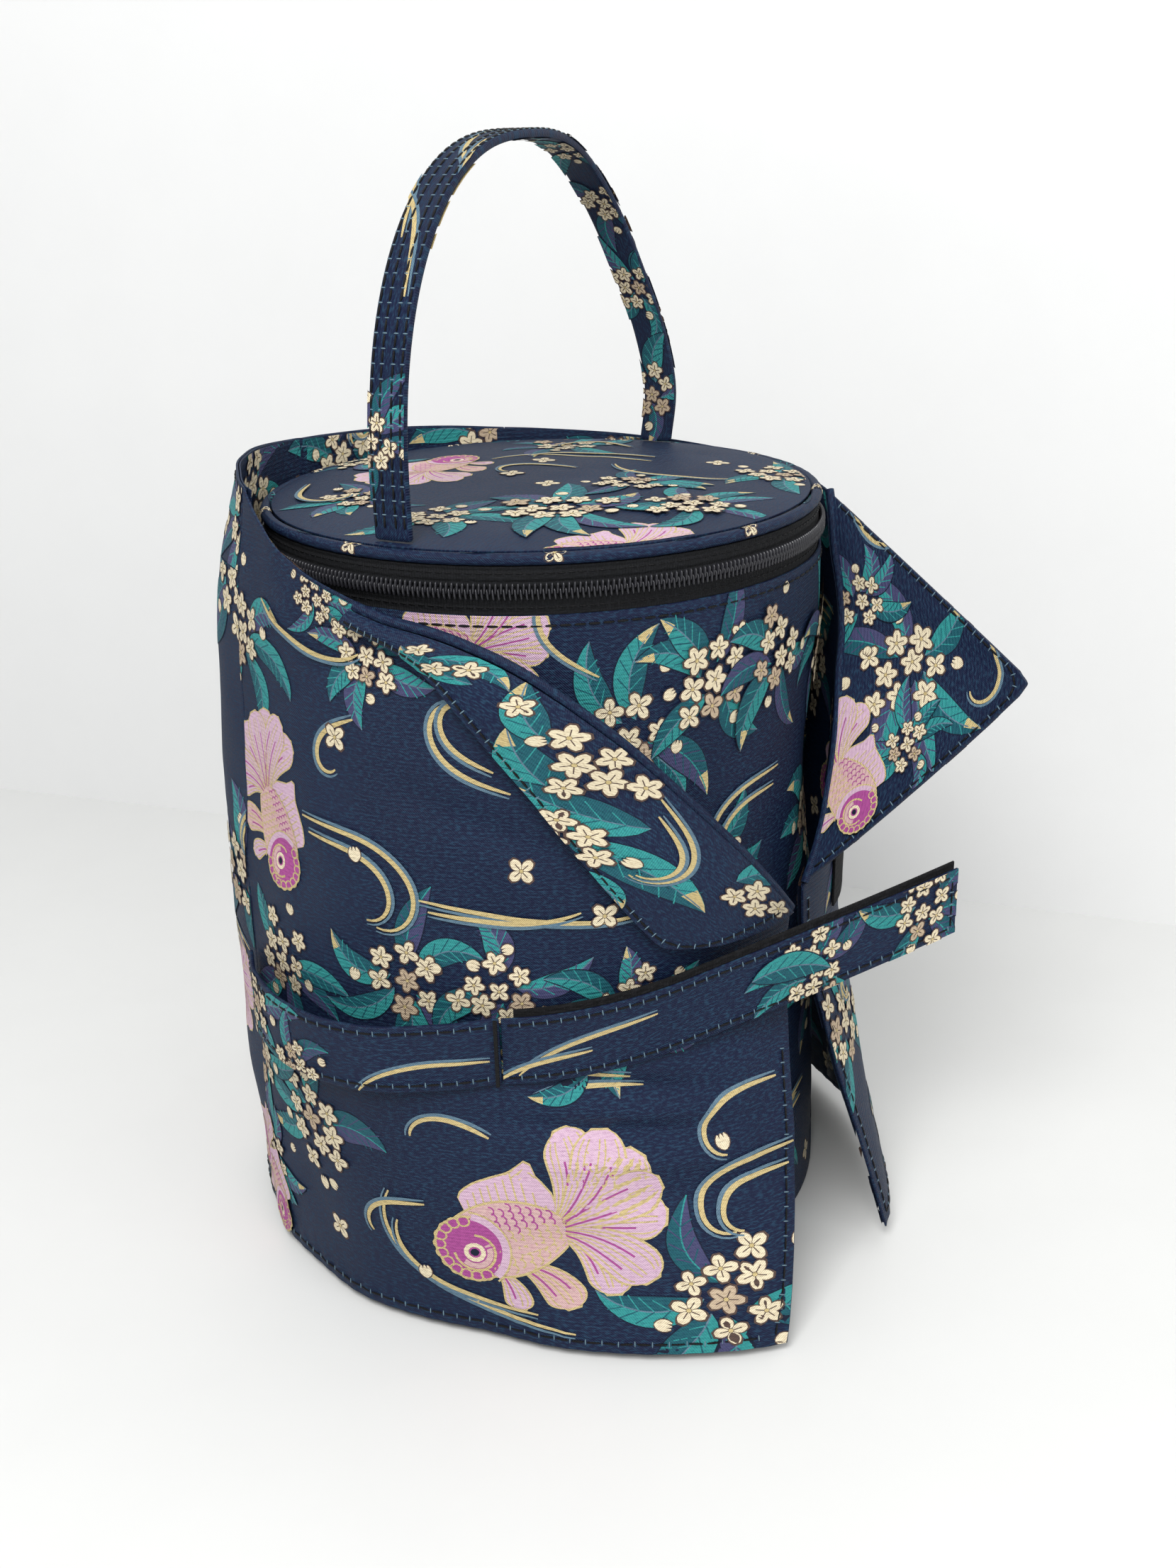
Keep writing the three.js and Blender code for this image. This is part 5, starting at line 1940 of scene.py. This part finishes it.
# --- lapels
@dataclass
class Lapels:
    """The folded-back left lapel and the flared right one."""

    thickness: float = 1.5
    left_length: float = 188.0
    left_start: float = 6.0
    left_width: float = 50.0
    free_bow: Pairs = ((0, 0), (0.08, 5.8), (0.17, 12.5), (0.28, 17), (0.4, 15.5), (0.5, 13), (0.6, 10.5), (0.75, 5),
                       (0.88, 1), (1, -1))
    ease: float = 0.5
    stand: float = 2.6
    curl: float = 0.7

    def build(self, wrap: Wrap) -> None:
        """Builds both lapels of a wrap."""
        self.left(wrap)
        self.right(wrap)

    @staticmethod
    def roll(name: str, line: Array, radius: float, held: Held) -> None:
        """Adds the soft roll of cloth where a lapel turns over.

        Args:
            name: The piece's name.
            line: Its centre line.
            radius: Its radius.
            held: How it moves.
        """
        run = lengths(line)
        ahead = np.gradient(line, axis=0)
        ahead /= np.linalg.norm(ahead, axis=1, keepdims=True)
        out = line * (1, 1, 0)
        out /= np.linalg.norm(out, axis=1, keepdims=True)
        over = np.cross(ahead, out)

        def at(x: Array, y: Array) -> Array:
            """Place on the roll.

            Args:
                x: Distances along it.
                y: Distances round it.

            Returns:
                One point for each place.
            """
            pick = lambda values: np.stack([np.interp(x, run, values[:, k]) for k in range(3)], axis=-1)
            turn = (-np.asarray(y) / radius)[..., None]
            return pick(line) + radius * (np.cos(turn) * pick(out) + np.sin(turn) * pick(over))

        Cloth.oblong(name, at, (0, run[-1]), (0, math.tau * radius), (90, 10), 0.3, held, "facing_brocade", edge=0.0,
                     weld=True).build()

    def left(self, wrap: Wrap) -> None:
        """Builds the long lapel that lies back on the left panel.

        Args:
            wrap: The wrap.
        """
        (a0, h0), (a1, h1) = wrap.crease_left
        corner = (-41.0, 136.0)
        lift = wrap.cloth / 2 + 0.3 + self.thickness / 2

        def at(x: Array, y: Array) -> Array:
            """Place on the lapel.

            Args:
                x: Distances along its crease.
                y: Distances out from it, negative.

            Returns:
                One point for each place.
            """
            u = x / self.left_length
            wide = self.left_start + (self.left_width - self.left_start) * u
            v = 1 + y / wide
            crease_angle = a0 + (a1 - 1 - a0) * u
            crease_height = wrap.left_fold(crease_angle) - 3
            free_angle, free_height = a0 - 1 + (corner[0] - a0 + 1) * u, h0 - 6 + (corner[1] - h0 + 6) * u
            free_height = free_height + curve(self.free_bow, u)
            angle = free_angle + (crease_angle - free_angle) * v
            height = free_height + (crease_height - free_height) * v
            rise = self.ease + self.stand * np.sin(np.pi * self.curl * np.clip(1 - v, -0.2, 1.2))
            return wrap.over(LEFT, angle * DEGREE, height, lift + rise)

        def cut(u: Array, v: Array) -> Flat:
            """Flat cut with a rounded corner.

            Args:
                u: Share of the way along the crease.
                v: Share of the way in to the crease.

            Returns:
                Flat places along the crease and out from it.
            """
            wide = self.left_start + (self.left_width - self.left_start) * u
            shy = 5.0 * np.clip((u - 0.94) / 0.06, 0, 1) ** 2 * (1 - v) ** 3
            return self.left_length * u - shy, -wide * (1 - v) + shy

        outline = [(0, -self.left_start), (self.left_length - 6, -self.left_width + 1.6),
                   (self.left_length - 0.8, -self.left_width + 7), (self.left_length - 0.8, 0), (0, 0)]
        # The hold's points lie where the cloth turns over, on the straight line between the fold's ends, below the
        # bow; the piece is baked in place, not turned
        turn_angle = (a0 + a1) / 2
        middle, inner = (polar(turn_angle - back, LEFT.radius(turn_angle, 190) + lift, (h0 + h1) / 2 - 3 - down)
                         for back, down in ((0, 0), (3.4, 9)))
        held = Held("wrap_left", "lapel_left", metres(middle), metres(inner))
        cloth = Cloth("left_lapel_cloth", at, cut, outline, (120, 26), self.thickness, held, "facing_brocade",
                      edge=0.6)
        angles = np.linspace(a0 + 0.6, a1 - 0.8, 90)
        heights = wrap.left_fold(angles) - 1.2
        self.roll("left_fold_roll", wrap.over(LEFT, angles * DEGREE, heights, 0.9), 1.5, wrap.left_held)
        piece = cloth.build("left_lapel")
        figure = Figure(cloth, 61)
        for x, y, turn, long, wide in ((116, -23, 168, 36, 15), (132, -14, 206, 40, 15), (126, -35, 12, 44, 15),
                                       (136, -45, 4, 22, 8), (163, -9, 52, 26, 11), (62, -10, 176, 30, 9),
                                       (44, -9, 8, 26, 8), (92, -12, 150, 26, 11)):
            figure.put(Motifs.leaf(long, wide, 4, tip=True), x, y, turn)
        figure.motifs((Motifs.scroll(50, -165), 122, -4, -10), (Motifs.scroll(36, -150), 128, -9, -12))
        for x, y, size in ((93, -7, 5.2), (102, -13, 5.4), (106, -4, 4.8), (112, -11, 5.4), (119, -5, 4.8),
                           (108, -21, 4.6), (118, -31, 4.8), (127, -29, 5.0), (135, -33, 4.6), (124, -38, 4.4),
                           (171, -6, 4.8), (177, -12, 4.6), (182, -5, 4.4), (168, -14, 4.2), (56, -6, 4.4),
                           (50, -12, 4.0), (76, -8, 4.4), (38, -7, 3.8)):
            figure.put(Motifs.flower(size), x, y, x * 37)
        figure.motifs((Motifs.bud(5.0), 88, -16, 60), (Motifs.bud(5.0), 143, -26, 200))
        woven = figure.build()
        long, low = self.left_length, -self.left_width
        Stitches(cloth).build([[(2, -self.left_start + 1.8), (long - 12, low + 4.6), (long - 6, low + 7),
                                (long - 4, low + 12), (long - 4, -4)]])

    def right(self, wrap: Wrap) -> None:
        """Builds the short lapel that is turned out flat to a square corner.

        Args:
            wrap: The wrap.
        """
        (a0, h0), (a1, h1) = wrap.crease_right
        corner = polar(5, 171, 212)
        count = 41
        angles = np.linspace(a0 + 0.5, a1, count)
        heights = h0 + (h1 - h0) * (angles - a0) / (a1 - a0) + 0.4
        crease = wrap.over(RIGHT, angles * DEGREE, heights, 1.1)
        run = lengths(crease)
        length = float(run[-1])
        low, top = crease[0], crease[-1]
        reach_low, reach_top = np.linalg.norm(corner - low), np.linalg.norm(corner - top)
        fx = (reach_low ** 2 - reach_top ** 2 + length ** 2) / (2 * length)
        fy = -math.sqrt(max(reach_low ** 2 - fx ** 2, 1.0))

        def at(x: Array, y: Array) -> Array:
            """Place on the lapel.

            Args:
                x: Distances along its crease.
                y: Distances out from it, negative.

            Returns:
                One point for each place.
            """
            out = np.clip(y / fy, -0.01, 0.999)
            along = (x - fx * out) / (1 - out)
            s = np.interp(along, run, np.arange(count))
            base = np.stack([np.interp(s, np.arange(count), crease[:, k]) for k in range(3)], axis=-1)
            slope = (along - np.clip(along, 0, length))[..., None] * (top - low) / length
            flat = (base + slope) * (1 - out)[..., None] + corner * out[..., None]
            bow = 2.2 * np.sin(np.pi * np.clip(out, 0, 1)) + 0.35 * ripple(x, y, 71)
            normal = np.cross(top - low, corner - low)
            return flat + normal / np.linalg.norm(normal) * bow[..., None]

        def cut(u: Array, v: Array) -> Flat:
            """Flat cut: v runs out from the crease, cut short of the point for a round corner."""
            out = (1 - u) * (0.974 - 0.034 * (2 * v - 1) ** 2)
            return near(0.012 + 0.976 * v, out)

        near = lambda share, out: (length * share * (1 - out) + fx * out, fy * out)
        outline = [(2.0, -0.2), near(0.02, 0.936), near(0.3, 0.964), near(0.7, 0.964), near(0.98, 0.936),
                   (length - 2.0, -0.2)]
        # The flat place of the point lies below the crease, so the border runs anticlockwise
        middle = crease[count // 2]
        held = Held("wrap_right", "lapel_right", metres(middle), metres(middle + (corner - middle) * 0.16))
        cloth = Cloth("right_lapel_cloth", at, cut, outline, (60, 90), self.thickness, held, "facing_brocade",
                      edge=0.6)
        self.roll("right_fold_roll", crease - crease * (1, 1, 0) / 108 * 0.7 + (0, 0, 0.1), 1.35, wrap.right_held)
        piece = cloth.build("right_lapel")
        figure = Figure(cloth, 62)
        figure.clusters((76, -29, 95, 1.05), (100, -8, 190, 0.7), (48, -30, 60, 0.6))
        figure.motifs((Motifs.fish(50), 20, -18, 40, True), (Motifs.scroll(36, 200), 138, -8, 200),
                      (Motifs.scroll(34, -190), 84, -62, 200), (Motifs.flower(4.4), 92, -66, 20))
        woven = figure.build()
        figure = Figure(replace(cloth, name="right_lapel_reverse"), 63)
        figure.scatter(60, 0.1)
        figure.build(-1)
        Stitches(cloth).build([[near(0.03, 0.02), near(0.16, 0.9), near(0.5, 0.925), near(0.86, 0.9),
                                near(0.975, 0.02)]])
        log.info("right lapel: crease %.1f mm, reach %.1f mm", length, -fy)


# --- pocket, belt and strap
@dataclass
class Belt:
    """The slip pocket on the left panel, its band, and the closing strap."""

    width: float = 24.0
    tack: float = -70.0
    pocket_top: float = 104.0
    cloth: float = 0.8
    droop: float = 6.0
    gape: Pairs = ((-128, 0.0), (-118, 4.6), (-105, 9), (-90, 10.5), (-78, 6), (-70, 2.2), (-30, 1.4))
    strap_length: float = 163.0
    strap_radius: float = 113.4
    leaves: float = -38.0
    rise: float = 26.0
    loops: Pair = (8.0, 62.0)

    def stand(self, angle: Array, height: Array) -> Array:
        """How far the pocket's face stands off the panel."""
        return curve(self.gape, angle) * np.clip((height - HEM) / (BELT - HEM), 0, 2) ** 1.4

    @staticmethod
    def free(angle: Array) -> Array:
        """How free a layer is of the side seam that catches it: 0 in the seam, 1 away from it."""
        share = np.clip((angle + 128) / 9, 0, 1)
        return share * share * (3 - 2 * share)

    def build(self, wrap: Wrap) -> None:
        """Builds the pocket, its band and the strap.

        Args:
            wrap: The wrap that they are sewn to.
        """
        s = wrap.spread * DEGREE

        def face(x: Array, y: Array) -> Array:
            """Place of the pocket's face.

            Args:
                x: Flat places along the cloth.
                y: Heights.

            Returns:
                One point for each place.
            """
            angle = x / DEGREE
            base = LEFT.radius(angle, np.maximum(y, HEM)) + wrap.uneven(x, y)
            return polar(angle, base + 0.95 + 0.95 * self.free(angle) + self.stand(angle, y), y)

        def face_cut(u: Array, v: Array) -> Flat:
            """Flat cut of the pocket's face."""
            height = 3.2 + (self.pocket_top - 3.2) * v
            return -s + (wrap.left_front(height) * DEGREE - 0.4 + s) * u, height

        front = lambda h: wrap.left_front(h) * DEGREE - 0.8
        outline = [(-s, 3.6), (front(3.6), 3.6), (front(103), 103.6), (-s, 103.6)]
        pocket = Cloth("pocket_cloth", face, face_cut, outline, (120, 56), self.cloth, wrap.left_held)
        piece = pocket.build("pocket_panel")
        figure = Figure(pocket, 41)
        wrap.weave(figure, "left_panel_cloth")
        woven = figure.build()
        hem = [(x, 6.6) for x in np.linspace(-s, front(6.6) - 3.2, 40)]
        side = [(front(h) - 3.0, h) for h in np.linspace(6.6, 92, 20)]
        Stitches(pocket).build([hem, side])
        self.band(wrap)
        self.strap(wrap)

    def band(self, wrap: Wrap) -> None:
        """Builds the stiff band along the pocket's mouth, up to the bar tack.

        Args:
            wrap: The wrap.
        """
        s = wrap.spread * DEGREE
        end = self.tack * DEGREE

        def at(x: Array, y: Array) -> Array:
            """Place of the band's middle.

            Args:
                x: Distances round the wrap.
                y: Distances across the band.

            Returns:
                One point for each place.
            """
            angle = x / DEGREE
            share = (x + s) / (end + s)
            height = BELT + y - self.droop * (1 - share)
            base = LEFT.radius(angle, BELT) + wrap.uneven(x, BELT)
            return polar(angle, base + 2.25 + 2.1 * self.free(angle) + self.stand(angle, 120.0), height)

        half = self.width / 2
        band = Cloth.oblong("pocket_band_cloth", at, (-s, end), (-half, half), (80, 10), 1.5, wrap.left_held,
                            edge=0.6)
        band.build("pocket_band")
        figure = Figure(band, 81)
        figure.clusters((-s + 20, 2, 80, 0.8), (-s + 44, -12, 30, 0.6))
        figure.put(Motifs.scroll(40, 60), end - 2, -3, 176)
        figure.build()
        Stitches(band).build([[(-s, y), (end - 1, y)] for y in (-half + 2.6, half - 2.4)])
        finish_node("bar_tack", Finishes.yarn(THREAD, Place.OBJECT))

    def strap(self, wrap: Wrap) -> None:
        """Builds the free strap with hook tape behind it, and the loop tape that it closes on.

        Args:
            wrap: The wrap.
        """
        start = self.tack + 0.3
        arc = math.radians(self.leaves - start) * self.strap_radius

        def way(lift: float, flip: int) -> Surface:
            """The strap's surface.

            Args:
                lift: Its distance from the outer cloth.
                flip: 1 to face outwards, -1 to face inwards.

            Returns:
                The surface.
            """
            def at(x: Array, y: Array) -> Array:
                """Place on the strap.

                Args:
                    x: Distances from the bar tack.
                    y: Distances across the strap.

                Returns:
                    One point for each place.
                """
                run = np.asarray(x) * flip
                height = BELT + y + self.rise * (np.clip(run, 0, None) / self.strap_length) ** 1.2
                radius = self.strap_radius + lift + 0.25 * np.sin(run / 17)
                bend = np.minimum(run, arc)
                on = polar(start + np.degrees(bend / self.strap_radius), radius, height)
                ahead = polar(self.leaves + 90, 1.0, 0.0)
                return on + ahead * np.maximum(run - arc, 0)[..., None]
            return at

        half = self.width / 2
        held = Held("wrap_left", "strap", *(metres(polar(angle, self.strap_radius, BELT)) for angle in (-69.6, -60)))
        length = self.strap_length
        strap = Cloth.oblong("strap_cloth", way(0, 1), (0, length), (-half, half), (110, 10), 0.8, held, edge=0.3)
        piece = strap.build("strap_outer")
        figure = Figure(strap, 91)
        figure.motifs((Motifs.scroll(48, 40), 52, 4, 184), (Motifs.scroll(34, 40), 30, -3, 184))
        figure.cluster(108, -3, 100, 0.7)
        figure.put(Motifs.leaf(30, 10, 3), 84, 2, -12)
        figure.cluster(150, 2, 80, 0.75)
        woven = figure.build()
        Stitches(strap).build([[(2, y), (length - 2.4, y)] for y in (-half + 2.4, half - 2.4)]
                              + [[(length - 2.2, -half + 3), (length - 2.2, half - 3)]])
        Cloth.oblong("hook_tape_cloth", way(-1.05, -1), (1 - length, -4), (3 - half, half + 2.4), (110, 12), 0.7, held,
                     "hook_and_loop", HOOK, 0.0).build("strap_hook_tape")
        Cloth.oblong("loop_tape_cloth", lambda x, y: wrap.over(RIGHT, x, y, 1.25),
                     tuple(a * DEGREE for a in self.loops), (120, 140), (60, 14), 0.7, wrap.right_held,
                     "hook_and_loop", HOOK, 0.0).build("loop_tape")


@dataclass
class ClearPocket:
    """The film pocket inside the right panel, with its own zip; depth is measured from the outer cloth."""

    film: float = 0.4
    low: float = 10.0
    high: float = 128.0
    span: Pair = (13.0, 46.0)
    tape: Pair = (3.2, 12.4)
    teeth_angle: float = 8.0
    depth: float = 1.6

    def build(self, wrap: Wrap) -> None:
        """Builds the film, the tape and its teeth.

        Args:
            wrap: The wrap whose right panel carries them.
        """
        def at(lift: float) -> Surface:
            """A surface behind the right panel's lining."""
            return lambda x, y: wrap.over(RIGHT, -x, y, -self.depth - lift)

        def cut(span: Pair) -> Cut:
            """Flat cut between two angles from the front edge.

            Args:
                span: The angles.

            Returns:
                The cut.
            """
            def flat(u: Array, v: Array) -> Flat:
                """Flat places, mirrored to face inwards."""
                height = self.low + (self.high - self.low) * v
                return -(wrap.right_front(height) + span[1] + (span[0] - span[1]) * u) * DEGREE, height
            return flat

        film = Cloth("clear_pocket_film", at(self.film / 2), cut(self.span), (), (50, 50), self.film,
                     wrap.right_held, "clear_film", edge=0.0)
        piece = film.build("clear_pocket")
        piece.data.materials[0] = Finishes.film()
        tape = Cloth("pocket_zip_tape_cloth", at(0.3), cut(self.tape), (), (10, 50), 0.5, wrap.right_held,
                     "zip_tape", TAPE, 0.0)
        tape.build("pocket_zip_tape")
        heights = np.arange(self.low + 4, self.high - 4, 1.25)
        angle = wrap.right_front(heights) + self.teeth_angle
        x = -angle * DEGREE
        centres, out = tape.lifted(x, heights, 1.2)
        ahead, _ = tape.lifted(x, heights + 1, 1.2)
        up = ahead - centres
        side = np.cross(up, out)
        axes = np.stack([side * 3.0, up * 0.7, out * 1.3], axis=1)
        piece = stamp("pocket_teeth", Template.bead(6, 5, 1.5), centres, axes, np.zeros(len(x)),
                      [Finishes.hard(NYLON)], wrap.right_held)
        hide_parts("pocket_zip_teeth")


# --- studio
@dataclass
class Studio:
    """The camera at the photograph's angle, the pale floor and wall, and soft light."""

    place: tuple[float, float, float] = (-0.50789, -0.29471, 0.3852)
    right: tuple[float, float, float] = (0.47277, -0.88075, -0.02792)
    down: tuple[float, float, float] = (-0.33432, -0.14996, -0.93045)
    ahead: tuple[float, float, float] = (0.81531, 0.44922, -0.36534)
    lens: float = 39.06
    sensor: float = 36.0
    wall: float = 0.27

    def camera(self) -> None:
        """Sets the camera."""
        data = bpy.data.cameras.new("photo_camera")
        data.sensor_width = self.sensor
        data.lens = self.lens
        data.clip_start = 0.01
        camera = linked("photo_camera", data)
        x, y, z = Vector(self.right), -Vector(self.down), -Vector(self.ahead)
        camera.matrix_world = Matrix((
            (x[0], y[0], z[0], self.place[0]), (x[1], y[1], z[1], self.place[1]),
            (x[2], y[2], z[2], self.place[2]), (0, 0, 0, 1)))
        bpy.context.scene.camera = camera

    def surroundings(self) -> None:
        """Adds the floor and the wall behind it."""
        deselect()
        bpy.ops.mesh.primitive_grid_add(x_subdivisions=8, y_subdivisions=8, size=6, location=(0, 0, 0))
        floor = bpy.context.object
        floor.name = "floor"
        floor.data.materials.append(Finishes.plain("pale_floor", (214, 214, 212), 0.55))
        low, far = Vector((0.048, 0.365, 0)), Vector((0.138, -0.212, 0))
        along = (far - low).normalized()
        start, end = low - along * 2.5, far + along * 2.5
        mesh = bpy.data.meshes.new("wall")
        up = Vector((0, 0, 2.6))
        away = Vector((-along.y, along.x, 0))
        behind = away * (self.wall - (low.x * away.x + low.y * away.y))
        points = [start + behind, end + behind, end + behind + up, start + behind + up]
        mesh.from_pydata([tuple(p) for p in points], [], [(0, 1, 2, 3)])
        wall = linked("wall", mesh)
        mesh.materials.append(self.one_way(Finishes.plain("pale_wall", (222, 222, 221), 0.8)))

    @staticmethod
    def one_way(material: Material) -> Material:
        """Makes a finish clear from behind, to the camera and to light.

        Args:
            material: The finish.

        Returns:
            The same finish.
        """
        n = Node(material.node_tree)
        result = material.node_tree.nodes["Material Output"]
        shader = material.node_tree.nodes["Principled BSDF"]
        mix = n.add("MixShader")
        n.feed(mix.inputs["Fac"], n.add("NewGeometry").outputs["Backfacing"])
        n.feed(mix.inputs[1], shader.outputs[0])
        n.feed(mix.inputs[2], n.add("BsdfTransparent").outputs[0])
        n.feed(result.inputs["Surface"], mix.outputs[0])
        return material

    def light(self, name: str, place: Sequence[float], size: float, watts: float) -> None:
        """Adds a soft lamp that faces the bag.

        Args:
            name: The lamp's name.
            place: Where it stands, in metres.
            size: Its side.
            watts: Its power.
        """
        data = bpy.data.lights.new(name, "AREA")
        data.size = size
        data.energy = watts
        lamp = linked(name, data)
        lamp.location = place
        lamp.rotation_euler = (Vector((0, 0, 0.15)) - Vector(place)).to_track_quat("-Z", "Y").to_euler()

    def build(self) -> None:
        """Builds the whole studio."""
        self.camera()
        self.surroundings()
        world = bpy.data.worlds.new("soft_world")
        world.use_nodes = True
        Node.preset(world.node_tree.nodes["Background"], {"Color": (0.95, 0.97, 1.0, 1), "Strength": 0.57})
        bpy.context.scene.world = world
        self.light("window", (-0.9, -0.2, 1.3), 0.7, 21)
        self.light("fill", (-0.5, -1.2, 0.8), 1.0, 6)
        bpy.context.scene.view_settings.view_transform = "Standard"
        bpy.context.scene.view_settings.exposure = 0.0


def main() -> None:
    """Builds every sub-assembly in order."""
    logging.basicConfig(level=logging.INFO, format="%(message)s")
    Studio().build()
    Drum().build()
    Zip().build()
    Lid().build()
    Handle().build()
    wrap = Wrap()
    wrap.build()
    Lapels().build(wrap)
    Belt().build(wrap)
    ClearPocket().build(wrap)
    for node, yarn in (("base_board", BOARD), ("wrap_seam_strip", NAVY)):
        finish_node(node, Finishes.yarn(yarn, Place.OBJECT))


if __name__ == "__main__":
    main()
